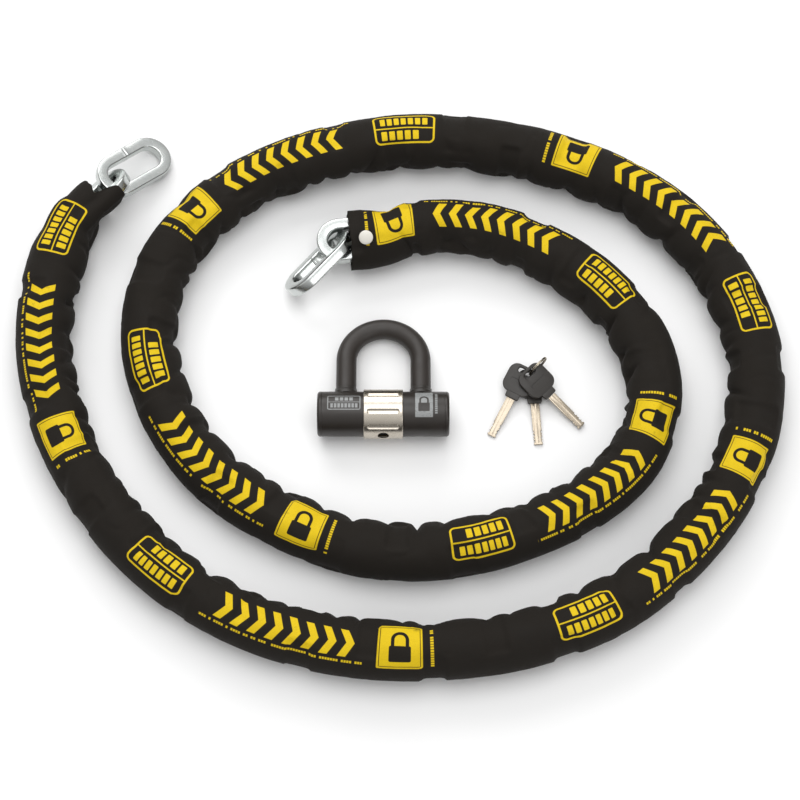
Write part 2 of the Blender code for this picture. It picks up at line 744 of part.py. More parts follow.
def build_keys():
    head = key_head_mesh()
    blade = key_blade_mesh()
    for name, (x, y, z, heading, dip) in KEYS.items():
        turn = Matrix.Rotation(heading, 4, "Z") @ Matrix.Rotation(dip, 4, "Y")
        pivot = add_empty(f"key_{name}_pivot", Matrix.Translation((*KEY_PIVOT, 0.0)))
        offset = Matrix.Translation((x - KEY_PIVOT[0], y - KEY_PIVOT[1], z))
        add_part(f"key_head_{name}", head.copy(), "black_plastic", offset @ turn, pivot)
        add_part(f"key_blade_{name}", blade.copy(), "nickel_silver", offset @ turn, pivot)

    low, high = KEY_RING_RADIUS - KEY_RING_THICKNESS / 2, KEY_RING_RADIUS + KEY_RING_THICKNESS / 2
    half = KEY_RING_WIDTH / 2
    ring = moved(turned("key_ring", ring_profile(high, low, -half, half, 0.0003), KEY_RING_SIDES), ALONG_Y)
    matrix = Matrix.Translation(KEY_RING_CENTRE) @ Matrix.Rotation(KEY_RING_HEADING, 4, "Z")
    add_part("key_ring", ring, "nickel", matrix)


def main():
    clear_scene()
    build_sleeve()
    build_rivet()
    build_chain()
    build_padlock()
    build_keys()


main()
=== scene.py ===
"""Looks of the sleeved security chain, its mini D padlock and its keys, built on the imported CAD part."""
import math

import bmesh
import bpy
import numpy as np
from mathutils import Matrix, Vector
from mathutils.bvhtree import BVHTree


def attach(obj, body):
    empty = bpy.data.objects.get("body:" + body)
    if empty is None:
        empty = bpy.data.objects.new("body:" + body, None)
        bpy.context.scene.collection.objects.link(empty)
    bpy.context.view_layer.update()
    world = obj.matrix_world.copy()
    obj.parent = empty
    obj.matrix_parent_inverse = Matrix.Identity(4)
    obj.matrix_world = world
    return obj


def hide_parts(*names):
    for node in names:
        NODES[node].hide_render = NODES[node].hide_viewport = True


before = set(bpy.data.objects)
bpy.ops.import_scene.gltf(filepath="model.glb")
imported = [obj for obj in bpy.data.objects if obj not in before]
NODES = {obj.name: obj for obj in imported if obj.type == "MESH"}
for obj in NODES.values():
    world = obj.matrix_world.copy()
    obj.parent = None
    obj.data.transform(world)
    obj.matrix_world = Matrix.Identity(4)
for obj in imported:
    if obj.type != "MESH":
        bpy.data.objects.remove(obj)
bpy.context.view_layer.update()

# ---------------------------------------------------------------- sizes, in metres

# Centreline of the sleeve, outer end first: the points of the CAD part.
ROUTE = (
    (-0.2745, 0.1915), (-0.294, 0.171), (-0.313, 0.124), (-0.3205, 0.074), (-0.3185, 0.024),
    (-0.3075, -0.023), (-0.2885, -0.068), (-0.255, -0.121), (-0.209, -0.169), (-0.152, -0.207),
    (-0.088, -0.232), (-0.020, -0.2435), (0.052, -0.2425), (0.122, -0.229), (0.189, -0.200),
    (0.2455, -0.153), (0.288, -0.096), (0.3125, -0.034), (0.316, 0.034), (0.296, 0.099),
    (0.259, 0.154), (0.206, 0.195), (0.144, 0.223), (0.078, 0.2385), (0.008, 0.243),
    (-0.062, 0.232), (-0.128, 0.206), (-0.184, 0.164), (-0.219, 0.106), (-0.226, 0.038),
    (-0.207, -0.026), (-0.168, -0.081), (-0.110, -0.1225), (-0.042, -0.150), (0.030, -0.155),
    (0.097, -0.140), (0.1575, -0.112), (0.2045, -0.070), (0.225, -0.012), (0.214, 0.048),
    (0.176, 0.098), (0.126, 0.133), (0.072, 0.153), (0.012, 0.155), (-0.0190, 0.1458),
    (-0.0455, 0.1430),
)
CENTRE_HEIGHT = 0.025
SLEEVE_RADIUS = 0.0250
SLEEVE_CLOTH = 0.0009
SLEEVE_CLEARANCE = 0.0014
SLEEVE_STEP = 0.0019
SLEEVE_SIDES = 88
FLOOR_GAP = 0.0003

OUTER_MOUTH_ROOM = 0.0022
WARP_PITCH = 0.00075
WEFT_PITCH = 0.00082
DASH_PITCH = 0.0021
SIDE_PITCH = 0.0024
# Distance along the sleeve of each printed frame's middle; the print repeats from one to the next.
PRINT_FRAMES = (0.057, 0.410, 0.796, 1.147, 1.524, 1.888, 2.261, 2.596)
PRINT_PERIOD = 0.363
# Turn of the print's middle from the top of the tube, in degrees, at each frame.
PRINT_TURNS = (4.0, 4.0, 6.0, 8.0, 6.0, 6.0, 6.0, 4.0, 4.0)

BAR = 0.010
LINK_LENGTH = 0.077
LINK_WIDTH = 0.042
LINK_CORNER = 0.0015

LOCK_PLACE = (-0.0158, -0.0260, 0.0223)
LOCK_TILT = math.radians(-8.48)
HOUSING_RADIUS = 0.020
HOUSING_BORE = 0.017
HOUSING_LENGTH = 0.109
CAP_LENGTH = 0.004
COLLAR_RADIUS = 0.022
COLLAR_BORE = 0.0203
COLLAR_LENGTH = 0.035
KEYHOLE_RADIUS = 0.0050
LEG_OFFSET = 0.0333
LEG_STRAIGHT = 0.0545
LEG_DEPTH = 0.008
BAR_RADIUS = 0.0077
JACKET_RADIUS = 0.00905
JACKET_WALL = 0.0011
JACKET_START = 0.0190
SEAL_RADIUS = 0.0110
SEAL_BORE = 0.0094

RIVET_PLACE = (-0.0317, 0.1457, 0.0256)
RIVET_LEAN = math.radians(26.0)
RIVET_SEAT = 0.0260
RIVET_SHANK = 0.0021
RIVET_TAIL = -0.0262

HEAD_LENGTH = 0.0272
HEAD_WIDTH = 0.0280
HEAD_THICKNESS = 0.0036
BLADE_START = 0.0191
BLADE_LENGTH = 0.0385
BLADE_WIDTH = 0.0078
BLADE_THICKNESS = 0.0024
KEY_RING_PLACE = (0.1230, 0.0236, 0.0123)
KEY_RING_HEADING = math.radians(46.0)
KEY_RING_RADIUS = 0.0105
KEY_RING_LEAN = math.radians(5.0)
# Head centre x, y, z, heading in the floor's plane, and dip of the blade towards the floor.
KEYS = {
    "middle": (0.1187, 0.0100, 0.0046, math.radians(-86.0), math.radians(3.1)),
    "left": (0.1072, 0.0112, 0.0098, math.radians(-118.0), math.radians(8.3)),
    "right": (0.1212, 0.0090, 0.0147, math.radians(-44.0), math.radians(12.7)),
}

ALONG_X = Matrix.Rotation(math.radians(90.0), 4, "Y")
ALONG_Y = Matrix.Rotation(math.radians(-90.0), 4, "X")


# ---------------------------------------------------------------- material helpers

class Nodes:
    """Short names for the few shader nodes that the materials are made of."""

    def __init__(self, name):
        self.material = bpy.data.materials.new(name)
        self.material.use_nodes = True
        self.tree = self.material.node_tree
        self.shader = self.tree.nodes["Principled BSDF"]

    def node(self, kind, **settings):
        made = self.tree.nodes.new(kind)
        for name, value in settings.items():
            setattr(made, name, value)
        return made

    def plug(self, socket, value):
        if isinstance(value, bpy.types.NodeSocket):
            self.tree.links.new(value, socket)
        else:
            socket.default_value = value

    def math(self, operation, *values):
        made = self.node("ShaderNodeMath", operation=operation)
        for socket, value in zip(made.inputs, values):
            self.plug(socket, value)
        return made.outputs[0]

    def noise(self, vector, scale, detail=3.0, roughness=0.55):
        made = self.node("ShaderNodeTexNoise")
        self.plug(made.inputs["Vector"], vector)
        made.inputs["Scale"].default_value = scale
        made.inputs["Detail"].default_value = detail
        made.inputs["Roughness"].default_value = roughness
        return made.outputs["Fac"]

    def place(self):
        return self.node("ShaderNodeTexCoord").outputs["Object"]

    def stretched(self, vector, scale):
        made = self.node("ShaderNodeMapping")
        self.plug(made.inputs["Vector"], vector)
        made.inputs["Scale"].default_value = scale
        return made.outputs["Vector"]

    def ramp(self, value, low, high, out_low=0.0, out_high=1.0):
        made = self.node("ShaderNodeMapRange", clamp=True)
        for socket, number in zip(made.inputs, (value, low, high, out_low, out_high)):
            self.plug(socket, number)
        return made.outputs[0]

    def blend(self, share, first, second):
        made = self.node("ShaderNodeMix", data_type="RGBA")
        self.plug(made.inputs["Factor"], share)
        self.plug(made.inputs["A"], first)
        self.plug(made.inputs["B"], second)
        return made.outputs["Result"]

    def bump(self, height, distance, strength=1.0, after=None):
        made = self.node("ShaderNodeBump")
        made.inputs["Strength"].default_value = strength
        made.inputs["Distance"].default_value = distance
        self.plug(made.inputs["Height"], height)
        if after is not None:
            self.plug(made.inputs["Normal"], after)
        return made.outputs["Normal"]

    def uv(self, name):
        split = self.node("ShaderNodeSeparateXYZ")
        self.plug(split.inputs[0], self.node("ShaderNodeUVMap", uv_map=name).outputs[0])
        return split.outputs[0], split.outputs[1]

    def set(self, **values):
        for name, value in values.items():
            self.plug(self.shader.inputs[name.replace("_", " ")], value)

    # Flat shapes, as distances that are negative inside.

    def box(self, x, y, centre, half, corner=0.0):
        across = self.math("ABSOLUTE", self.math("SUBTRACT", x, centre[0]))
        up = self.math("ABSOLUTE", self.math("SUBTRACT", y, centre[1]))
        across = self.math("SUBTRACT", across, half[0] - corner)
        up = self.math("SUBTRACT", up, half[1] - corner)
        out_x = self.math("MAXIMUM", across, 0.0)
        out_y = self.math("MAXIMUM", up, 0.0)
        squares = self.math("ADD", self.math("MULTIPLY", out_x, out_x), self.math("MULTIPLY", out_y, out_y))
        inside = self.math("MINIMUM", self.math("MAXIMUM", across, up), 0.0)
        reach = self.math("ADD", self.math("SQRT", squares), inside)
        return self.math("SUBTRACT", reach, corner)

    def filled(self, distance, soft=0.00022):
        return self.ramp(distance, soft, -soft)

    def outline(self, distance, half):
        return self.filled(self.math("SUBTRACT", self.math("ABSOLUTE", distance), half))

    def repeated(self, value, start, pitch):
        """Position inside its cell, from the cell's middle."""
        cells = self.math("FRACT", self.math("DIVIDE", self.math("SUBTRACT", value, start), pitch))
        return self.math("MULTIPLY", self.math("SUBTRACT", cells, 0.5), pitch)

    def chance(self, value, start, pitch, extra):
        """A number from 0 to 1 that is steady within each cell."""
        cell = self.math("FLOOR", self.math("DIVIDE", self.math("SUBTRACT", value, start), pitch))
        made = self.node("ShaderNodeTexWhiteNoise", noise_dimensions="3D")
        join = self.node("ShaderNodeCombineXYZ")
        self.plug(join.inputs[0], cell)
        self.plug(join.inputs[1], extra)
        self.plug(made.inputs["Vector"], join.outputs[0])
        return made.outputs["Value"]

    def bars(self, x, y, middle, half, bar, start, pitch, corner=0.0):
        """Bars repeated along x, each of half-size bar, kept within a row round its middle."""
        cell = self.repeated(x, start, pitch)
        each = self.filled(self.box(cell, y, (0.0, middle[1]), bar, corner))
        return self.both(each, self.filled(self.box(x, y, middle, half)))

    def both(self, *masks):
        result = masks[0]
        for mask in masks[1:]:
            result = self.math("MULTIPLY", result, mask)
        return result

    def any(self, *masks):
        result = masks[0]
        for mask in masks[1:]:
            result = self.math("MAXIMUM", result, mask)
        return result


def padlock_sign(n, x, y, centre, size):
    """Plain padlock pictogram: a block with a U above it."""
    low = (centre[0], centre[1] - 0.28 * size)
    body = n.filled(n.box(x, y, low, (0.46 * size, 0.36 * size), 0.08 * size))
    bow = n.box(x, y, (centre[0], centre[1] + 0.16 * size), (0.31 * size, 0.50 * size), 0.30 * size)
    upper = n.math("GREATER_THAN", y, centre[1] - 0.1 * size)
    return n.any(body, n.both(n.outline(bow, 0.075 * size), upper))


# ---------------------------------------------------------------- materials

def sleeve_print(n, across, up, unit):
    """Mask of one repeat of the sleeve's print: frame, chevrons, fine dashes and a square sign."""
    frame_line = n.outline(n.box(across, up, (0.0, 0.0), (0.0265, 0.0152), 0.0045), 0.00085)
    frame_middle = n.filled(n.box(across, up, (0.0, 0.0005), (0.0262, 0.0006)))
    bar = (0.0026, 0.0044)
    upper_bars = n.bars(across, up, (0.0040, 0.0078), (0.0180, 0.0044), bar, -0.0140, 0.0072, 0.0008)
    bar = (0.0022, 0.0044)
    lower_bars = n.bars(across, up, (0.0001, -0.0073), (0.0217, 0.0044), bar, -0.0216, 0.0062, 0.0008)

    cell = n.repeated(across, 0.0580, 0.0145)
    slope = n.math("MULTIPLY", n.math("ABSOLUTE", up), 0.50)
    chevron = n.math("ADD", n.math("SUBTRACT", cell, 0.0030), slope)
    chevron = n.filled(n.math("SUBTRACT", n.math("ABSOLUTE", chevron), 0.0033))
    chevrons = n.both(chevron, n.filled(n.box(across, up, (0.1160, 0.0), (0.0580, 0.0124))))

    dash_on = n.math("GREATER_THAN", n.chance(across, 0.0, DASH_PITCH, unit), 0.24)
    dash = (0.00080, 0.0011)
    dashes = n.bars(across, up, (0.1140, -0.0166), (0.0660, 0.002), dash, 0.0, DASH_PITCH)
    dashes = n.both(dashes, dash_on)

    square = n.filled(n.box(across, up, (0.2090, 0.0), (0.0180, 0.0195), 0.0012))
    thin = n.outline(n.box(across, up, (0.2090, 0.0), (0.0162, 0.0177), 0.0006), 0.00030)
    sign = padlock_sign(n, across, up, (0.2090, -0.0010), 0.0190)
    square = n.both(square, n.math("SUBTRACT", 1.0, n.any(thin, sign)))

    side_on = n.math("GREATER_THAN", n.chance(up, 0.0, SIDE_PITCH, unit), 0.22)
    dash = (0.00090, 0.0013)
    side = n.bars(up, across, (0.0, 0.2345), (0.0190, 0.002), dash, 0.0, SIDE_PITCH)
    side = n.both(side, side_on)
    return n.any(frame_line, frame_middle, upper_bars, lower_bars, chevrons, dashes, square, side)


def fabric_material():
    n = Nodes("sleeve_fabric")
    along, arc = n.uv("metres")
    printed, up = n.uv("print")
    unit = n.math("FLOOR", n.math("ADD", printed, 0.2))
    across = n.math("MULTIPLY", n.math("SUBTRACT", printed, unit), PRINT_PERIOD)

    warp = n.math("SINE", n.math("MULTIPLY", along, 2 * math.pi / WARP_PITCH))
    weft = n.math("SINE", n.math("MULTIPLY", arc, 2 * math.pi / WEFT_PITCH))
    weave = n.math("MULTIPLY", warp, weft)
    place = n.place()
    fuzz = n.noise(place, 1400.0, 2.0)
    worn = n.noise(place, 46.0, 4.0, 0.62)
    height = n.math("ADD", n.math("MULTIPLY", weave, 0.6), fuzz)

    mask = sleeve_print(n, across, up, unit)
    thread = n.ramp(n.math("ADD", n.math("MULTIPLY", weave, 0.12), fuzz), 0.22, 0.42)
    cover = n.math("ADD", n.math("MULTIPLY", thread, 0.3), 0.7)
    mask = n.both(mask, n.ramp(worn, 0.24, 0.34, 0.55, 1.0), cover)

    black = n.blend(worn, (0.0085, 0.0070, 0.0056, 1.0), (0.0160, 0.0134, 0.0108, 1.0))
    black = n.blend(n.math("MULTIPLY", fuzz, 0.35), black, (0.028, 0.024, 0.020, 1.0))
    yellow = n.blend(worn, (0.80, 0.57, 0.010, 1.0), (0.64, 0.44, 0.010, 1.0))
    colour = n.blend(mask, black, yellow)
    rough = n.math("SUBTRACT", n.ramp(worn, 0.3, 0.7, 0.74, 0.92), n.math("MULTIPLY", mask, 0.22))
    n.set(Base_Color=colour, Roughness=rough, Normal=n.bump(height, 0.00010, 0.6))
    n.set(Sheen_Weight=0.03, Sheen_Roughness=0.5, Specular_IOR_Level=0.14)
    n.shader.inputs["Sheen Tint"].default_value = (0.62, 0.58, 0.54, 1.0)
    return n.material


def metal_material(name, light, dark, rough, bump, brushed=(1.0, 1.0, 1.0)):
    """Bare or plated metal: cloudy colour, uneven gloss, fine scratches and a little unevenness."""
    n = Nodes(name)
    place = n.place()
    cloud = n.noise(place, 90.0, 4.0, 0.6)
    grain = n.noise(n.stretched(place, brushed), 1500.0, 3.0)
    smear = n.noise(place, 260.0, 3.0, 0.7)
    colour = n.blend(n.ramp(cloud, 0.34, 0.66), dark, light)
    gloss = n.math("ADD", n.math("MULTIPLY", grain, 0.45), n.math("MULTIPLY", smear, 0.55))
    normal = n.bump(grain, bump, 0.5, n.bump(smear, bump * 3.0, 0.5))
    n.set(Base_Color=colour, Metallic=1.0, Roughness=n.ramp(gloss, 0.34, 0.66, *rough), Normal=normal)
    return n.material


def coated_material(name, light, dark, rough, grain_scale, bump, marks=False):
    """Painted, vinyl-coated or moulded black: fine orange peel, handling marks and dust."""
    n = Nodes(name)
    place = n.place()
    cloud = n.noise(place, 70.0, 4.0, 0.6)
    peel = n.noise(place, grain_scale, 2.0)
    dust = n.ramp(n.noise(place, 2300.0, 1.0), 0.70, 0.78)
    colour = n.blend(cloud, dark, light)
    colour = n.blend(n.math("MULTIPLY", dust, 0.18), colour, (0.20, 0.19, 0.18, 1.0))
    if marks:
        colour = n.blend(housing_marks(n), colour, (0.30, 0.31, 0.31, 1.0))
    n.set(Base_Color=colour, Roughness=n.ramp(cloud, 0.30, 0.70, *rough), Normal=n.bump(peel, bump, 0.5))
    return n.material


def housing_marks(n):
    """Mask of the crossbar's two small grey prints: a framed plate of bars and a square sign."""
    along, arc = n.uv("metres")
    plate = n.outline(n.box(along, arc, (-0.0347, 0.0012), (0.0142, 0.0070), 0.0012), 0.00042)
    middle = n.filled(n.box(along, arc, (-0.0347, 0.0012), (0.0140, 0.00025)))
    upper = n.bars(along, arc, (-0.0347, 0.0046), (0.0084, 0.003), (0.0015, 0.0019), -0.0431, 0.0042)
    lower = n.bars(along, arc, (-0.0346, -0.0022), (0.0124, 0.003), (0.0011, 0.0020), -0.0470, 0.0031)
    square = n.filled(n.box(along, arc, (0.0360, 0.0008), (0.0078, 0.0136), 0.0006))
    square = n.both(square, n.math("SUBTRACT", 1.0, padlock_sign(n, along, arc, (0.0360, -0.0004), 0.0110)))
    side = n.bars(arc, along, (0.0008, 0.0468), (0.0106, 0.002), (0.00070, 0.0011), 0.0, 0.0020)
    wear = n.ramp(n.noise(n.place(), 900.0, 2.0), 0.30, 0.46, 0.45, 0.9)
    return n.both(n.any(plate, middle, upper, lower, square, side), wear)


# Clean colour, worn colour, roughness from and to, height of the unevenness, and stretch of the grain.
METALS = {
    "zinc": ((0.60, 0.62, 0.605, 1.0), (0.54, 0.565, 0.555, 1.0), (0.19, 0.28), 0.0000015),
    "steel": ((0.60, 0.61, 0.62, 1.0), (0.46, 0.47, 0.48, 1.0), (0.26, 0.44), 0.00003),
    "nickel": ((0.60, 0.55, 0.475, 1.0), (0.56, 0.51, 0.435, 1.0), (0.25, 0.31), 0.0000006, (0.25, 4.0, 4.0)),
    "ring": ((0.46, 0.42, 0.34, 1.0), (0.34, 0.30, 0.24, 1.0), (0.16, 0.30), 0.000004),
    "brass": ((0.80, 0.62, 0.32, 1.0), (0.62, 0.45, 0.20, 1.0), (0.24, 0.42), 0.00003),
    "nickel_silver": ((0.42, 0.365, 0.290, 1.0), (0.37, 0.315, 0.245, 1.0), (0.24, 0.32), 0.0000006),
}
COAT_COLOURS = ((0.024, 0.0185, 0.0150, 1.0), (0.016, 0.0125, 0.0100, 1.0))
# Light colour, dark colour, roughness from and to, scale and height of the grain, and printed or not.
COATINGS = {
    "black_coat": (*COAT_COLOURS, (0.34, 0.46), 1300.0, 0.00003, True),
    "black_cap": (*COAT_COLOURS, (0.34, 0.46), 1300.0, 0.00003),
    "black_vinyl": ((0.027, 0.0210, 0.0170, 1.0), (0.019, 0.0148, 0.0118, 1.0), (0.44, 0.58), 800.0, 0.00004),
    "black_plastic": ((0.024, 0.0200, 0.0160, 1.0), (0.016, 0.0132, 0.0108, 1.0), (0.36, 0.52),
                      1700.0, 0.00005),
    "rivet": ((0.78, 0.76, 0.70, 1.0), (0.66, 0.63, 0.57, 1.0), (0.32, 0.48), 500.0, 0.00003),
}


def all_materials():
    materials = {"fabric": fabric_material()}
    for name, row in METALS.items():
        materials[name] = metal_material(name, *row)
    for name, row in COATINGS.items():
        materials[name] = coated_material(name, *row)
    return materials


# ---------------------------------------------------------------- mesh helpers

def new_object(name, mesh, material):
    obj = bpy.data.objects.new(name, mesh)
    bpy.context.scene.collection.objects.link(obj)
    mesh.materials.clear()
    mesh.materials.append(material)
    return obj


def smooth(mesh, degrees=40.0):
    mesh.shade_smooth()
    mesh.set_sharp_from_angle(angle=math.radians(degrees))


def grid_faces(rows, columns, wrap_rows=False):
    """Quads between rows of points, each row closed into a ring."""
    faces = []
    for i in range(rows if wrap_rows else rows - 1):
        here, following = i * columns, (i + 1) % rows * columns
        for j in range(columns):
            j_next = (j + 1) % columns
            faces.append((here + j, here + j_next, following + j_next, following + j))
    return faces


def mesh_of(name, points, faces):
    mesh = bpy.data.meshes.new(name)
    mesh.from_pydata([tuple(p) for p in points], [], faces)
    shape = bmesh.new()
    shape.from_mesh(mesh)
    bmesh.ops.recalc_face_normals(shape, faces=shape.faces)
    shape.to_mesh(mesh)
    shape.free()
    return mesh


def turned(name, profile, sides=96):
    """Ring or solid turned about Z from a closed or axis-to-axis profile of (radius, z)."""
    solid = profile[0][0] == 0.0
    rim = profile[1:-1] if solid else profile
    angles = [2 * math.pi * j / sides for j in range(sides)]
    points = [(r * math.cos(a), r * math.sin(a), z) for r, z in rim for a in angles]
    faces = grid_faces(len(rim), sides, wrap_rows=not solid)
    if solid:
        points += [(0.0, 0.0, profile[0][1]), (0.0, 0.0, profile[-1][1])]
        top, bottom = len(points) - 2, len(points) - 1
        last = (len(rim) - 1) * sides
        faces += [(top, (j + 1) % sides, j) for j in range(sides)]
        faces += [(bottom, last + j, last + (j + 1) % sides) for j in range(sides)]
    return mesh_of(name, points, faces)


def rounded_corner(centre, radius, start, end, count=6):
    """Points of an arc, angles in degrees."""
    points = []
    for i in range(count + 1):
        angle = math.radians(start + (end - start) * i / count)
        points.append((centre[0] + radius * math.cos(angle), centre[1] + radius * math.sin(angle)))
    return points


def ring_profile(outer, bore, low, high, edge):
    upper = rounded_corner((outer - edge, high - edge), edge, 90.0, 0.0)
    lower = rounded_corner((outer - edge, low + edge), edge, 0.0, -90.0)
    return upper + lower + [(bore, low), (bore, high)]


def swept(name, path, section, closed, up=Vector((0.0, 0.0, 1.0))):
    """Section, as (sideways, upward) points, carried along a path that stays square to up."""
    points = []
    count = len(path)
    for i, here in enumerate(path):
        before = path[i - 1] if closed or i else here
        after = path[(i + 1) % count] if closed or i < count - 1 else here
        side = (after - before).normalized().cross(up)
        points += [here + side * x + up * y for x, y in section(i)]
    sides = len(section(0))
    faces = grid_faces(count, sides, wrap_rows=closed)
    if not closed:
        faces += [tuple(range(sides)), tuple(range((count - 1) * sides, count * sides))]
    return mesh_of(name, points, faces)


def cut(mesh, cutters):
    """The mesh with each cutter's shape taken out of it."""
    holder = bpy.data.objects.new(mesh.name, mesh)
    bpy.context.scene.collection.objects.link(holder)
    tools = []
    for cutter in cutters:
        tool = bpy.data.objects.new("tool", cutter)
        bpy.context.scene.collection.objects.link(tool)
        modifier = holder.modifiers.new("cut", "BOOLEAN")
        modifier.operation = "DIFFERENCE"
        modifier.solver = "EXACT"
        modifier.object = tool
        tools.append(tool)
    graph = bpy.context.evaluated_depsgraph_get()
    result = bpy.data.meshes.new_from_object(holder.evaluated_get(graph))
    result.name = mesh.name
    for obj in (holder, *tools):
        bpy.data.objects.remove(obj, do_unlink=True)
    return result


def cylinder(radius, low, high, matrix, sides=64):
    mesh = turned("cutter", [(0.0, high), (radius, high), (radius, low), (0.0, low)], sides)
    mesh.transform(matrix)
    return mesh


def flat_outline(name, outlines, thickness, edge, steps=3):
    """Plate over closed outlines in the XY plane, centred on z = 0, with rounded edges."""
    curve = bpy.data.curves.new(name, "CURVE")
    curve.dimensions = "2D"
    curve.fill_mode = "BOTH"
    curve.extrude = thickness / 2 - edge
    curve.bevel_depth = edge
    curve.bevel_resolution = steps
    curve.offset = -edge
    for outline in outlines:
        spline = curve.splines.new("POLY")
        spline.points.add(len(outline) - 1)
        for point, (x, y) in zip(spline.points, outline):
            point.co = (x, y, 0.0, 1.0)
        spline.use_cyclic_u = True
    holder = bpy.data.objects.new(name, curve)
    bpy.context.scene.collection.objects.link(holder)
    graph = bpy.context.evaluated_depsgraph_get()
    mesh = bpy.data.meshes.new_from_object(holder.evaluated_get(graph))
    mesh.name = name
    bpy.data.objects.remove(holder, do_unlink=True)
    shape = bmesh.new()
    shape.from_mesh(mesh)
    bmesh.ops.remove_doubles(shape, verts=shape.verts, dist=1e-6)
    shape.to_mesh(mesh)
    shape.free()
    return mesh


def rounded_rectangle(length, width, corner, centre=(0.0, 0.0), count=8):
    points = []
    for sx, sy, start in ((1, 1, 0.0), (-1, 1, 90.0), (-1, -1, 180.0), (1, -1, 270.0)):
        middle = (centre[0] + sx * (length / 2 - corner), centre[1] + sy * (width / 2 - corner))
        points += rounded_corner(middle, corner, start, start + 90.0, count)
    return points


# ---------------------------------------------------------------- sleeve

def smooth_route():
    """Dense points and their distances along the Catmull-Rom curve through the route."""
    knots = [np.array(p) for p in ROUTE]
    knots = [2 * knots[0] - knots[1], *knots, 2 * knots[-1] - knots[-2]]
    share = np.linspace(0.0, 1.0, 40, endpoint=False)[:, None]
    dense = []
    for a, b, c, d in zip(knots, knots[1:], knots[2:], knots[3:]):
        dense.append(0.5 * (2 * b + (c - a) * share + (2 * a - 5 * b + 4 * c - d) * share ** 2
                            + (3 * b - a - 3 * c + d) * share ** 3))
    dense = np.concatenate([*dense, knots[-2][None]])
    steps = np.linalg.norm(np.diff(dense, axis=0), axis=1)
    return dense, np.concatenate([[0.0], np.cumsum(steps)])


ROUTE_POINTS, ROUTE_LENGTHS = smooth_route()
ROUTE_TOTAL = float(ROUTE_LENGTHS[-1])


def route_at(s):
    """Position and direction on the route at distance s, straight on past its ends."""
    slope = np.gradient(ROUTE_POINTS, ROUTE_LENGTHS, axis=0)
    inside = np.clip(s, 0.0, ROUTE_TOTAL)
    place = np.stack([np.interp(inside, ROUTE_LENGTHS, ROUTE_POINTS[:, k]) for k in (0, 1)], -1)
    along = np.stack([np.interp(inside, ROUTE_LENGTHS, slope[:, k]) for k in (0, 1)], -1)
    along /= np.linalg.norm(along, axis=-1, keepdims=True)
    return place + along * (s - inside)[..., None], along


def tube_points(s, angle, radius):
    """Points on the tube: angle 0 is the top and a quarter turn is the bend's outer side."""
    place, along = route_at(s)
    out = np.stack([along[..., 1], -along[..., 0]], -1)
    sideways = (radius * np.sin(angle))[..., None] * out
    height = CENTRE_HEIGHT + radius * np.cos(angle)
    return np.concatenate([place + sideways, height[..., None]], -1)


def bumpy(s, angle, cell, around, seed):
    """Smooth random field from -1 to 1 along and around the tube."""
    rows = int(4.0 / cell) + 4
    table = np.random.default_rng(seed).uniform(-1.0, 1.0, (rows, around))
    u = (s + 0.5) / cell
    v = (angle / (2 * math.pi)) % 1.0 * around
    i, j = np.floor(u).astype(int), np.floor(v).astype(int)
    fu, fv = u - i, v - j
    fu, fv = fu * fu * (3 - 2 * fu), fv * fv * (3 - 2 * fv)
    i, i_next = i % rows, (i + 1) % rows
    j, j_next = j % around, (j + 1) % around
    low = table[i, j] * (1 - fv) + table[i, j_next] * fv
    high = table[i_next, j] * (1 - fv) + table[i_next, j_next] * fv
    return low * (1 - fu) + high * fu


def chain_reach():
    """How far the chain inside reaches from the route, on a grid of distance and angle."""
    points, faces = [], []
    for name, node in NODES.items():
        if name.startswith("chain_run") or name in ("link_01", "link_02", "link_03", "link_53", "link_54"):
            start = len(points)
            points += [v.co.copy() for v in node.data.vertices]
            faces += [[start + k for k in face.vertices] for face in node.data.polygons]
    tree = BVHTree.FromPolygons(points, faces)
    s = np.arange(-0.012, ROUTE_TOTAL + 0.006, 0.003)
    angles = np.linspace(-math.pi, math.pi, 48, endpoint=False)
    s_grid, angle_grid = np.meshgrid(s, angles, indexing="ij")
    middle = tube_points(s_grid, angle_grid, np.zeros_like(s_grid))
    outside = tube_points(s_grid, angle_grid, np.full_like(s_grid, 0.034))
    reach = np.zeros_like(s_grid)
    for index in np.ndindex(reach.shape):
        origin = Vector(outside[index])
        hit = tree.ray_cast(origin, Vector(middle[index]) - origin, 0.034)
        if hit[0] is not None:
            reach[index] = 0.034 - hit[3]
    reach = np.max([np.roll(reach, k, 1) for k in (-1, 0, 1)], axis=0)
    padded = np.pad(reach, ((2, 2), (0, 0)), mode="edge")
    reach = np.max([padded[k:k + len(s)] for k in range(5)], axis=0)
    for _ in range(2):
        reach = (np.roll(reach, 1, 1) + 2 * reach + np.roll(reach, -1, 1)) / 4
        padded = np.pad(reach, ((1, 1), (0, 0)), mode="edge")
        reach = (padded[:-2] + 2 * reach + padded[2:]) / 4
    return s, angles, reach


def reach_at(s, angle, table):
    steps, angles, reach = table
    u = np.clip((s - steps[0]) / (steps[1] - steps[0]), 0, len(steps) - 1.001)
    v = (angle + math.pi) / (2 * math.pi) % 1.0 * len(angles)
    i, j = np.floor(u).astype(int), np.floor(v).astype(int) % len(angles)
    fu, fv = u - i, v - np.floor(v)
    j_next = (j + 1) % len(angles)
    low = reach[i, j] * (1 - fv) + reach[i, j_next] * fv
    high = reach[i + 1, j] * (1 - fv) + reach[i + 1, j_next] * fv
    return low * (1 - fu) + high * fu


def step_up(value, low, high):
    t = np.clip((value - low) / (high - low), 0.0, 1.0)
    return t * t * (3 - 2 * t)


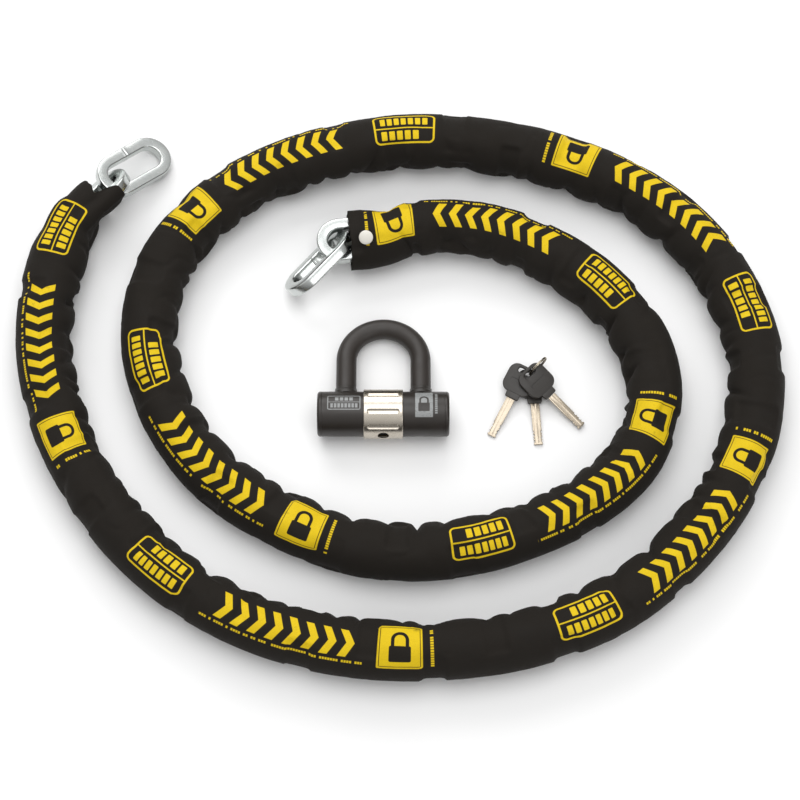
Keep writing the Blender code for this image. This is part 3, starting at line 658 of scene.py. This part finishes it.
def gathers():
    """Creases of the cloth on the inner side of the bend: distance, depth, width, spread, centre and skew."""
    rng = np.random.default_rng(11)
    rows = []
    s = 0.055
    while s < ROUTE_TOTAL - 0.04:
        rows.append((s, rng.uniform(0.0032, 0.0086), rng.uniform(0.0030, 0.0068), rng.uniform(0.50, 0.95),
                     math.radians(rng.uniform(-112.0, -72.0)), rng.uniform(-0.55, 0.55)))
        s += rng.uniform(0.018, 0.042)
    return rows


# Deeper folds, over the top or on the outer side: distance, depth, width, spread, centre and skew.
LARGE_FOLDS = (
    (0.452, 0.0050, 0.0060, 1.05, math.radians(-55.0), 0.50),
    (0.836, 0.0040, 0.0060, 1.00, math.radians(-60.0), -0.40),
    (1.185, 0.0042, 0.0055, 1.00, math.radians(-60.0), 0.45),
    (1.478, 0.0040, 0.0060, 0.90, math.radians(-70.0), 0.35),
    (1.935, 0.0042, 0.0055, 1.00, math.radians(-60.0), -0.45),
    (2.302, 0.0040, 0.0055, 0.95, math.radians(-65.0), 0.40),
    (2.756, 0.0050, 0.0075, 0.95, math.radians(-80.0), 0.30),
    (2.801, 0.0080, 0.0080, 0.75, math.radians(80.0), -0.20),
    (2.560, 0.0036, 0.0060, 0.80, math.radians(70.0), 0.40),
    (0.300, 0.0034, 0.0060, 0.80, math.radians(65.0), 0.40),
    (1.010, 0.0034, 0.0070, 0.80, math.radians(60.0), -0.45),
    (1.735, 0.0034, 0.0070, 0.85, math.radians(62.0), 0.45),
    (2.120, 0.0034, 0.0070, 0.85, math.radians(58.0), -0.40),
)


def sleeve_radius(s, angle, reach):
    """Distance of the cloth from the route: taut outside the bend, gathered inside it."""
    taut = 0.30 + 0.70 * (1.0 - step_up(np.sin(angle), 0.1, 0.9))
    radius = np.full_like(s, SLEEVE_RADIUS)
    radius += 0.0013 * taut * bumpy(s, angle, 0.047, 5, 3)
    radius += 0.0006 * taut * bumpy(s, angle, 0.017, 11, 4)
    warped = s + 0.006 * bumpy(s, angle, 0.03, 7, 6)
    radius += 0.00018 * bumpy(warped, angle, 0.0052, 16, 5)
    patches = step_up(bumpy(s, angle, 0.060, 6, 8), -0.25, 0.55)
    radius -= 0.0011 * taut * patches * (1.0 - np.abs(bumpy(warped, angle, 0.016, 7, 7))) ** 5
    inner = np.exp(-((np.angle(np.exp(1j * (angle + math.radians(92.0))))) / 0.62) ** 2)
    radius += 0.0022 * inner
    for centre, depth, width, spread, middle, skew in (*gathers(), *LARGE_FOLDS):
        near = np.abs(s[:, 0] - centre) < 0.07
        turn = np.angle(np.exp(1j * (angle[near] - middle)))
        away = np.sqrt((s[near] - centre - skew * turn * SLEEVE_RADIUS) ** 2 + 0.0009 ** 2) - 0.0009
        radius[near] -= depth * np.exp(-away / width) * np.exp(-(turn / spread) ** 2)
    end = 1.0 - step_up(s, 0.030, 0.080)
    radius -= 0.0048 * end * np.abs(np.sin(angle)) ** 1.5 + 0.0030 * end
    end = step_up(s, ROUTE_TOTAL - 0.034, ROUTE_TOTAL - 0.010)
    radius += 0.0022 * end * np.sin(angle) ** 2 - 0.0008 * end * np.cos(angle) ** 2
    rivet_s, rivet_angle = ROUTE_TOTAL - 0.0150, math.radians(24.0)
    away = np.hypot(s - rivet_s, (angle - rivet_angle) * SLEEVE_RADIUS)
    radius = np.minimum(radius, 0.0254 + 0.35 * np.maximum(away - 0.0060, 0.0))
    floor = reach_at(s, angle, reach) + SLEEVE_CLEARANCE
    floor += OUTER_MOUTH_ROOM * (1.0 - step_up(s, 0.050, 0.080))
    softness = 0.0007
    gap = np.clip((radius - floor) / softness, -30.0, 30.0)
    return floor + softness * np.log1p(np.exp(gap))


def mouth_shift(angle):
    """How far the outer mouth's edge lies along the route: two lobes with a V between them."""
    degrees = np.degrees(angle)
    turns, edges = zip(
        (-180.0, 0.008), (-130.0, 0.001), (-95.0, -0.006), (-60.0, -0.0095), (-34.0, -0.0080),
        (-22.0, 0.0010), (-14.0, 0.0120), (-6.0, 0.0105), (6.0, 0.0080), (40.0, 0.0085),
        (90.0, 0.0120), (140.0, 0.0115), (180.0, 0.008),
    )
    return np.interp(degrees, turns, edges)


def print_place(s, angle):
    """Where a point of the sleeve lies in the print: whole repeats along, and metres up from its middle."""
    frames = np.array([PRINT_FRAMES[0] - PRINT_PERIOD, *PRINT_FRAMES, PRINT_FRAMES[-1] + PRINT_PERIOD])
    numbers = np.arange(-1.0, len(frames) - 1.0)
    turn = np.radians(np.interp(s, PRINT_FRAMES + (PRINT_FRAMES[-1] + PRINT_PERIOD,), PRINT_TURNS))
    return np.interp(s, frames, numbers), (turn - angle) * SLEEVE_RADIUS


def build_sleeve(material):
    rows = int(round(ROUTE_TOTAL / SLEEVE_STEP)) + 1
    sides = SLEEVE_SIDES
    s_line = np.linspace(0.0, ROUTE_TOTAL, rows)
    # The grid's first column repeats at its end, so that the maps have no seam across a face.
    angle_line = np.linspace(-math.pi, math.pi, sides + 1)
    s, angle = np.meshgrid(s_line, angle_line, indexing="ij")
    start = (1.0 - step_up(s, 0.0, 0.035)) * mouth_shift(angle)
    fray = 0.0009 * bumpy(s * 0.0, angle, 1.0, 40, 21) + 0.0013 * bumpy(s * 0.0, angle, 1.0, 9, 22)
    finish = 0.0016 * step_up(s, ROUTE_TOTAL - 0.020, ROUTE_TOTAL)
    frayed = step_up(s, ROUTE_TOTAL - 0.012, ROUTE_TOTAL) + 1.0 - step_up(s, 0.0, 0.012)
    s = s + start + finish + fray * frayed
    radius = sleeve_radius(s, angle, chain_reach())
    outer = tube_points(s, angle, radius)
    inner = tube_points(s, angle, radius - SLEEVE_CLOTH)
    rest = FLOOR_GAP + 0.0002 * (1.0 + bumpy(s, angle, 0.012, 24, 9))
    outer[..., 2] = np.maximum(outer[..., 2], rest)
    inner[..., 2] = np.maximum(inner[..., 2], rest + SLEEVE_CLOTH)

    points = np.concatenate([outer[:, :-1].reshape(-1, 3), inner[:, :-1].reshape(-1, 3)])
    offset, last = rows * sides, (rows - 1) * sides
    quad = np.array(grid_faces(rows, sides))
    inside = quad[:, ::-1] + offset
    ring = np.arange(sides)
    ring_next = (ring + 1) % sides
    first_rim = np.stack([ring_next, ring, ring + offset, ring_next + offset], -1)
    last_rim = np.stack([ring, ring_next, ring_next + offset, ring + offset], -1) + last
    faces = np.concatenate([quad, inside, first_rim, last_rim])

    mesh = bpy.data.meshes.new("woven_sleeve")
    mesh.from_pydata(points.tolist(), [], faces.tolist())
    unit, up = print_place(s, angle)
    arc = angle * SLEEVE_RADIUS
    i, j = (index.ravel() for index in np.indices((rows - 1, sides)))
    near = np.stack([j, j + 1, j + 1, j], -1)
    at = np.stack([i, i, i + 1, i + 1], -1)
    add_maps(mesh, {
        "print": (np.stack([unit[at, near], up[at, near]], -1), (-0.5, 0.5)),
        "metres": (np.stack([s[at, near], arc[at, near]], -1), (0.0, 0.0)),
    }, len(quad))
    mesh.shade_smooth()
    sleeve = new_object("woven_sleeve", mesh, material)
    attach(sleeve, "chain")
    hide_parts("sleeve")


def add_maps(mesh, maps, outer_faces):
    """Maps of the outer faces; the other faces of a map all take one blank place."""
    loops = len(mesh.loops)
    for name, (values, blank) in maps.items():
        layer = mesh.uv_layers.new(name=name)
        full = np.empty((loops, 2), np.float32)
        full[:] = blank
        full[:outer_faces * 4] = values.reshape(-1, 2)
        layer.data.foreach_set("uv", full.ravel())


def build_rivet(material):
    radius, height, rim = 0.0064, 0.0021, 0.0006
    dome = [(0.0, RIVET_SEAT + height)]
    for i in range(1, 12):
        turn = math.radians(90.0 * i / 12)
        dome.append((radius * math.sin(turn), RIVET_SEAT + rim + (height - rim) * math.cos(turn)))
    dome += [(radius, RIVET_SEAT + rim), (radius - 0.0001, RIVET_SEAT + 0.0001)]
    dome += [(radius - 0.0007, RIVET_SEAT), (RIVET_SHANK, RIVET_SEAT)]
    dome += [(RIVET_SHANK, RIVET_TAIL), (0.0, RIVET_TAIL)]
    mesh = turned("rivet_cap", dome, 64)
    smooth(mesh)
    mesh.transform(Matrix.Translation(RIVET_PLACE) @ Matrix.Rotation(RIVET_LEAN, 4, "X"))
    cap = new_object("rivet_cap", mesh, material)
    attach(cap, "chain")
    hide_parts("rivet")


# ---------------------------------------------------------------- bare links

def link_path(steps=30, straight=64):
    """Centreline of a link in its own plane, long side along X, and the distance along it."""
    bend = (LINK_WIDTH - BAR) / 2
    half = (LINK_LENGTH - BAR) / 2 - bend
    path = []
    for side, start in ((1, -90.0), (-1, 90.0)):
        for i in range(steps):
            angle = math.radians(start + 180.0 * i / steps)
            path.append(Vector((side * half + bend * math.cos(angle), bend * math.sin(angle), 0.0)))
        for i in range(straight):
            path.append(Vector((side * (half - 2 * half * i / straight), side * bend, 0.0)))
    return path


def link_section(scale_x, scale_y, count=4):
    half = BAR / 2
    corner = LINK_CORNER
    points = []
    for sx, sy, start in ((1, 1, 0.0), (-1, 1, 90.0), (-1, -1, 180.0), (1, -1, 270.0)):
        middle = (sx * (half - corner), sy * (half - corner))
        for x, y in rounded_corner(middle, corner, start, start + 90.0, count):
            points.append((x * scale_x, y * scale_y))
    return points


def link_mesh(name, weld_side, seed):
    """Square-bar link: bar slightly pinched in its bends, with a resistance weld on one side."""
    path = link_path()
    rng = np.random.default_rng(seed)
    ridges = rng.uniform(-0.012, 0.012, len(path))

    def section(i):
        x, y = path[i].x, path[i].y
        along = abs(x) if y * weld_side > 0 and abs(y) > 0.0150 else 1.0
        bead = math.exp(-(along / 0.0022) ** 2)
        seam = math.exp(-(along / 0.0006) ** 2)
        pinch = 0.010 * step_up(abs(x), 0.020, 0.034)
        size = 1.0 + 0.060 * bead - 0.110 * seam + ridges[i] * (0.10 + bead)
        return link_section(size + pinch, size - 2.0 * pinch)

    mesh = swept(name, path, section, True)
    smooth(mesh, 60.0)
    return mesh


def link_matrix(centre, heading, pitch, roll):
    turn = Matrix.Rotation(math.radians(heading), 4, "Z") @ Matrix.Rotation(math.radians(-pitch), 4, "Y")
    return Matrix.Translation(centre) @ turn @ Matrix.Rotation(math.radians(roll), 4, "X")


def build_links(material):
    # Name, body, centre, heading, pitch, roll, side of the weld.
    rows = (
        ("link_01", "outer_end_link", (-0.2478, 0.2204, 0.0164), 41.0, -16.8, 8.9, 1),
        ("link_02", "outer_hook_link", (-0.28048, 0.18288, 0.025), -132.42, 0.0, 45.0, 1),
        ("link_54", "chain", (-0.0385, 0.1433, 0.025), 186.0, 0.0, 0.0, 1),
        ("link_55", "inner_end_link", (-0.0746, 0.1205, 0.0226), 227.0, -4.3, 52.2, -1),
    )
    for number, (node, body, centre, heading, pitch, roll, weld) in enumerate(rows):
        mesh = link_mesh(f"forged_{node}", weld, 40 + number)
        mesh.transform(link_matrix(centre, heading, pitch, roll))
        link = new_object(f"forged_{node}", mesh, material)
        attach(link, body)
        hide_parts(node)


# ---------------------------------------------------------------- padlock

LOCK = Matrix.Translation(LOCK_PLACE) @ Matrix.Rotation(LOCK_TILT, 4, "X")


def place_lock_piece(name, mesh, material, body, node):
    mesh.transform(LOCK)
    piece = new_object(name, mesh, material)
    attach(piece, body)
    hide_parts(node)


def leg_hole(side, radius, low, high):
    return cylinder(radius, low, high, Matrix.Translation((side * LEG_OFFSET, 0.0, 0.0)) @ ALONG_Y)


def map_round(mesh):
    """Map of distance along X and round from the top, for the prints on the crossbar."""
    layer = mesh.uv_layers.get("metres") or mesh.uv_layers.new(name="metres")
    for loop in mesh.loops:
        x, y, z = mesh.vertices[loop.vertex_index].co
        outside = math.hypot(y, z) > HOUSING_RADIUS - 0.0005
        layer.data[loop.index].uv = (x, math.atan2(y, z) * HOUSING_RADIUS) if outside else (0.0, 0.5)


def build_housing(materials):
    half = HOUSING_LENGTH / 2
    profile = ring_profile(HOUSING_RADIUS, HOUSING_BORE, -half, half, 0.0002)
    mesh = turned("crossbar_tube", profile, 128)
    mesh.transform(ALONG_X)
    holes = [leg_hole(side, SEAL_RADIUS + 0.0002, 0.005, 0.030) for side in (-1, 1)]
    holes.append(cylinder(0.0092, -0.030, -0.005, ALONG_Y))
    mesh = cut(mesh, holes)
    map_round(mesh)
    smooth(mesh, 30.0)
    place_lock_piece("crossbar_tube", mesh, materials["black_coat"], "crossbar",
                     "crossbar_housing")

    for name, side in (("left", -1), ("right", 1)):
        face = half + CAP_LENGTH
        edge = 0.0026
        profile = [(0.0, face - 0.0003), (0.0140, face - 0.0003), (0.0148, face)]
        profile += rounded_corner((HOUSING_RADIUS - edge, face - edge), edge, 90.0, 0.0, 10)
        profile += [(HOUSING_RADIUS, half + 0.0003), (HOUSING_RADIUS - 0.0001, half + 0.0001)]
        profile += [(0.0165, half + 0.0001), (0.0165, 0.0484), (0.0, 0.0484)]
        mesh = turned(f"end_cap_{name}_moulded", profile, 96)
        mesh.transform(Matrix.Rotation(math.radians(side * 90.0), 4, "Y"))
        smooth(mesh, 30.0)
        place_lock_piece(f"end_cap_{name}_moulded", mesh, materials["black_cap"], "crossbar",
                         f"end_cap_{name}")


def build_collar(materials):
    """Plated collar with long round-ended flutes round it and a round keyhole."""
    half = COLLAR_LENGTH / 2
    edge = 0.0009
    across = [half * math.sin(math.pi / 2 * k / 36) for k in range(-36, 37)]
    sides = 288
    flutes = [math.radians(turn) for turn in (-60.0, -22.5, 21.5, 65.5, 109.5, 153.5, 197.5, 240.0)]
    flute_depth, flute_half, flute_straight, flute_end = 0.00115, 0.0022, 0.0122, 0.0021
    points = []
    for x in across:
        rounding = max(0.0, abs(x) - (half - edge)) / edge
        rim = edge * (1.0 - math.sqrt(max(0.0, 1.0 - rounding * rounding)))
        for j in range(sides):
            turn = 2 * math.pi * j / sides
            radius = COLLAR_RADIUS - rim - 0.00012 * (x / half) ** 2
            for flute in flutes:
                away = abs(math.remainder(turn - flute, 2 * math.pi)) * COLLAR_RADIUS
                past = max(0.0, abs(x) - flute_straight) / flute_end
                wide = flute_half * max(0.0, 1.0 - past ** 2) ** 0.5
                if away < wide:
                    radius -= flute_depth * (1.0 - (away / wide) ** 2) ** 0.6 * min(1.0, wide / 0.0016)
            points.append((x, radius * math.sin(turn), radius * math.cos(turn)))
    for x in (half, -half):
        for j in range(sides):
            turn = 2 * math.pi * j / sides
            points.append((x, COLLAR_BORE * math.sin(turn), COLLAR_BORE * math.cos(turn)))
    mesh = mesh_of("fluted_collar", points, grid_faces(len(across) + 2, sides, wrap_rows=True))
    mesh = cut(mesh, [cylinder(KEYHOLE_RADIUS, -0.030, -0.010, ALONG_Y)])
    smooth(mesh, 24.0)
    place_lock_piece("fluted_collar", mesh, materials["nickel"], "collar", "keyhole_collar")


def shackle_path(start, count=72, straight=14):
    heights = [start + (LEG_STRAIGHT - start) * k / straight for k in range(straight)]
    path = [Vector((-LEG_OFFSET, height, 0.0)) for height in heights]
    for i in range(count + 1):
        angle = math.pi * (1.0 - i / count)
        path.append(Vector((LEG_OFFSET * math.cos(angle), LEG_STRAIGHT + LEG_OFFSET * math.sin(angle), 0.0)))
    path += [Vector((LEG_OFFSET, height, 0.0)) for height in reversed(heights)]
    return path


def circle(radius, sides=40):
    return [(radius * math.cos(2 * math.pi * k / sides), radius * math.sin(2 * math.pi * k / sides))
            for k in range(sides)]


def build_shackle(materials):
    path = shackle_path(-LEG_DEPTH)
    taper = {0: 0.86, 1: 1.0}
    path.insert(1, path[0] + Vector((0.0, 0.0011, 0.0)))
    path.insert(-1, path[-1] + Vector((0.0, 0.0011, 0.0)))
    last = len(path) - 1

    def section(i):
        return circle(BAR_RADIUS * taper.get(min(i, last - i), 1.0))

    mesh = swept("shackle_steel", path, section, False)
    inner = LEG_OFFSET - BAR_RADIUS
    notches = []
    for side in (-1, 1):
        low, high = sorted((side * (inner - 0.002), side * (inner + 0.0048)))
        notches.append(cylinder(0.0044, low, high, Matrix.Translation((0.0, 0.0044, 0.0)) @ ALONG_X))
    mesh = cut(mesh, notches)
    smooth(mesh, 35.0)
    place_lock_piece("shackle_steel", mesh, materials["steel"], "shackle", "shackle_bar")

    path = shackle_path(JACKET_START)
    outer = swept("shackle_cover", path, lambda i: circle(JACKET_RADIUS), False)
    bore_path = [path[0] + Vector((0.0, -0.002, 0.0)), *path, path[-1] + Vector((0.0, -0.002, 0.0))]
    bore = swept("bore", bore_path, lambda i: circle(JACKET_RADIUS - JACKET_WALL), False)
    mesh = cut(outer, [bore])
    smooth(mesh, 35.0)
    place_lock_piece("shackle_cover", mesh, materials["black_vinyl"], "shackle",
                     "shackle_jacket")

    for name, side in (("left", -1), ("right", 1)):
        profile = [(SEAL_BORE - 0.0001, 0.0243), (SEAL_BORE + 0.0003, 0.0244), (SEAL_BORE + 0.0005, 0.0240)]
        profile += [(0.0100, 0.0222), (0.0103, 0.0212), (0.0109, 0.0203)]
        profile += [(SEAL_RADIUS, 0.0197), (SEAL_RADIUS, 0.0172), (SEAL_BORE, 0.0172)]
        mesh = turned(f"leg_boss_{name}", profile, 72)
        mesh.transform(Matrix.Translation((side * LEG_OFFSET, 0.0, 0.0)) @ ALONG_Y)
        smooth(mesh)
        place_lock_piece(f"leg_boss_{name}", mesh, materials["black_plastic"], "crossbar",
                         f"leg_seal_{name}")


# ---------------------------------------------------------------- keys

def key_head_mesh(name):
    """Moulded head: soft edges, a slot for the ring and an engraved bracket."""
    outline = rounded_rectangle(HEAD_LENGTH, HEAD_WIDTH, 0.008)
    slot = rounded_rectangle(0.0045, 0.0122, 0.0019, (-0.0086, 0.0), 5)
    mesh = flat_outline(name, (outline, slot[::-1]), HEAD_THICKNESS, 0.0008)
    half = HEAD_THICKNESS / 2
    cutters = []
    start, back, wide, line = 0.0004, 0.0032, 0.0084, 0.0006
    lower = [(start, -wide), (start + back, -wide), (start + back, line - wide), (start + line, line - wide)]
    bracket = lower + [(x, -y) for x, y in reversed(lower)]
    for side in (-1, 1):
        panel = flat_outline("panel", (bracket,), 0.0012, 0.0001, 1)
        panel.transform(Matrix.Translation((0.0, 0.0, side * (half + 0.0002))))
        cutters.append(panel)
    return cut(mesh, cutters)


def key_neck_mesh(name):
    """Short moulded step between the head and the blade."""
    start, end = HEAD_LENGTH / 2 - 0.0010, HEAD_LENGTH / 2 + 0.0052
    outline = [(start, -0.0066), (end - 0.0008, -0.00625), (end, -0.0054),
               (end, 0.0054), (end - 0.0008, 0.00625), (start, 0.0066)]
    return flat_outline(name, (outline,), HEAD_THICKNESS - 0.0004, 0.0005)


def key_blade_mesh(name):
    """Blade with round cuts and a bevel on both edges, and two milled grooves on each side."""
    half = BLADE_WIDTH / 2
    end = BLADE_START + BLADE_LENGTH
    edges = []
    for depths in ((0.0011, 0.0008, 0.0012, 0.0007), (0.0009, 0.0012, 0.0006, 0.0010)):
        edge = [(BLADE_START, half)]
        for number in range(len(depths) - 1, -1, -1):
            edge += bite(end - 0.0032 - number * 0.0029, half, depths[number])
        edge += [(end - 0.0006, half), (end, half - 0.0006)]
        edges.append(edge)
    outline = [(x, -y) for x, y in edges[0]] + edges[1][::-1]
    mesh = flat_outline(name, (outline,), BLADE_THICKNESS, 0.00025, 1)
    cutters = []
    for side in (-1, 1):
        for y, width in ((0.0004, 0.0014), (-0.0026, 0.0005)):
            slot = rounded_rectangle(0.0420, width, 0.0002, (BLADE_START + 0.0160, y))
            groove = flat_outline("groove", (slot,), 0.0012, 0.0001, 1)
            groove.transform(Matrix.Translation((0.0, 0.0, side * (BLADE_THICKNESS / 2 - 0.0001))))
            cutters.append(groove)
    return cut(mesh, cutters)


def bite(x, half, depth, radius=0.0013, count=8):
    """Arc of a round cut of that depth in the blade's upper edge, from its lower x to its higher."""
    reach = math.acos((radius - depth) / radius)
    points = []
    for i in range(count + 1):
        turn = -reach + 2 * reach * i / count
        points.append((x + radius * math.sin(turn), half + radius - depth - radius * math.cos(turn)))
    return points


def build_keys(materials):
    for name, (x, y, z, heading, dip) in KEYS.items():
        matrix = Matrix.Translation((x, y, z)) @ Matrix.Rotation(heading, 4, "Z")
        matrix = matrix @ Matrix.Rotation(dip, 4, "Y")
        body = f"{name}_key"
        head = key_head_mesh(f"key_grip_{name}")
        head.transform(matrix)
        smooth(head, 30.0)
        grip = new_object(head.name, head, materials["black_plastic"])
        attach(grip, body)
        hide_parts(f"key_head_{name}")
        neck = key_neck_mesh(f"key_neck_{name}")
        neck.transform(matrix)
        smooth(neck, 30.0)
        neck = new_object(neck.name, neck, materials["black_plastic"])
        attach(neck, body)
        blade = key_blade_mesh(f"key_bit_{name}")
        blade.transform(matrix)
        smooth(blade, 30.0)
        bit = new_object(blade.name, blade, materials["nickel_silver"])
        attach(bit, body)
        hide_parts(f"key_blade_{name}")


def build_key_ring(material):
    """Split ring: flattened wire wound twice, the turns side by side, stepping over at one place."""
    turns, count = 2.0, 150
    half = 0.00055
    path = []
    for i in range(count + 1):
        turn = turns * i / count
        step = step_up(turn, 0.94, 1.06) * 2 * half - half
        angle = 2 * math.pi * turn + 1.1
        path.append(Vector((KEY_RING_RADIUS * math.cos(angle), step, KEY_RING_RADIUS * math.sin(angle))))
    last = len(path) - 1
    section = rounded_rectangle(0.0012, 0.00102, 0.00035, count=3)

    def tapered(i):
        size = 0.55 + 0.45 * step_up(min(i, last - i), 0, 3)
        return [(x * size, y) for x, y in section]

    mesh = swept("split_ring", path, tapered, False, Vector((0.0, 1.0, 0.0)))
    smooth(mesh, 50.0)
    lean = Matrix.Rotation(KEY_RING_LEAN, 4, "X")
    mesh.transform(Matrix.Translation(KEY_RING_PLACE) @ Matrix.Rotation(KEY_RING_HEADING, 4, "Z") @ lean)
    ring = new_object("split_ring", mesh, material)
    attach(ring, "ring")
    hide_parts("key_ring")


# ---------------------------------------------------------------- carried-over solids and setting

def dress_cad_nodes(materials):
    """Every CAD node that still shows gets the material of its kind."""
    for name, node in NODES.items():
        kind = "steel"
        if name.startswith(("chain_run", "link_")):
            kind = "zinc"
        elif name.startswith("disc_") or name in ("cylinder_body", "cylinder_plug"):
            kind = "brass"
        elif name == "rivet_washer":
            kind = "rivet"
        node.data.materials.clear()
        node.data.materials.append(materials[kind])


def build_floor():
    n = Nodes("studio_floor")
    place = n.place()
    tone = n.blend(n.noise(place, 3.0), (0.90, 0.90, 0.90, 1.0), (0.94, 0.94, 0.94, 1.0))
    n.set(Base_Color=tone, Roughness=n.ramp(n.noise(place, 9.0), 0.3, 0.7, 0.62, 0.78))
    size = 6.0
    points = [(-size, -size, 0.0), (size, -size, 0.0), (size, size, 0.0), (-size, size, 0.0)]
    mesh = mesh_of("floor", points, [(0, 1, 2, 3)])
    floor = new_object("floor", mesh, n.material)


def area_light(name, place, size, power):
    """Rectangular light that faces the middle of the floor."""
    data = bpy.data.lights.new(name, "AREA")
    data.shape = "RECTANGLE"
    data.size, data.size_y = size
    data.energy = power
    light = bpy.data.objects.new(name, data)
    light.location = place
    light.rotation_euler = (-Vector(place)).to_track_quat("-Z", "Y").to_euler()
    bpy.context.scene.collection.objects.link(light)


def build_lights():
    world = bpy.data.worlds.new("studio")
    world.use_nodes = True
    tree = world.node_tree
    background = tree.nodes["Background"]
    background.inputs["Strength"].default_value = 1.0
    place = tree.nodes.new("ShaderNodeTexCoord")
    split = tree.nodes.new("ShaderNodeSeparateXYZ")
    ramp = tree.nodes.new("ShaderNodeValToRGB")
    horizon, overhead = ramp.color_ramp.elements
    horizon.position, horizon.color = 0.05, (0.10, 0.095, 0.09, 1.0)
    overhead.position, overhead.color = 0.75, (0.80, 0.80, 0.80, 1.0)
    tree.links.new(place.outputs["Generated"], split.inputs[0])
    tree.links.new(split.outputs[2], ramp.inputs[0])
    tree.links.new(ramp.outputs[0], background.inputs["Color"])
    bpy.context.scene.world = world
    bpy.context.scene.view_settings.view_transform = "Standard"
    area_light("key", (-0.6, 2.1, 1.7), (2.4, 1.4), 33.0)
    area_light("top", (0.0, 0.3, 2.9), (2.2, 2.0), 30.0)
    area_light("fill", (1.8, -1.5, 1.5), (1.2, 0.8), 9.0)


def build_camera():
    data = bpy.data.cameras.new("camera")
    data.sensor_width = 36.0
    data.lens = 110.0
    data.clip_start = 0.05
    camera = bpy.data.objects.new("camera", data)
    distance, height = 2.2, math.radians(69.0)
    target = Vector((-0.001, -0.004, 0.0))
    camera.location = target + Vector((0.0, -distance * math.cos(height), distance * math.sin(height)))
    camera.rotation_euler = (math.radians(90.0) - height, 0.0, 0.0)
    bpy.context.scene.collection.objects.link(camera)
    bpy.context.scene.camera = camera


def main():
    build_camera()
    build_lights()
    build_floor()
    materials = all_materials()
    dress_cad_nodes(materials)
    build_sleeve(materials["fabric"])
    build_rivet(materials["rivet"])
    build_links(materials["zinc"])
    build_housing(materials)
    build_collar(materials)
    build_shackle(materials)
    build_keys(materials)
    build_key_ring(materials["ring"])


main()
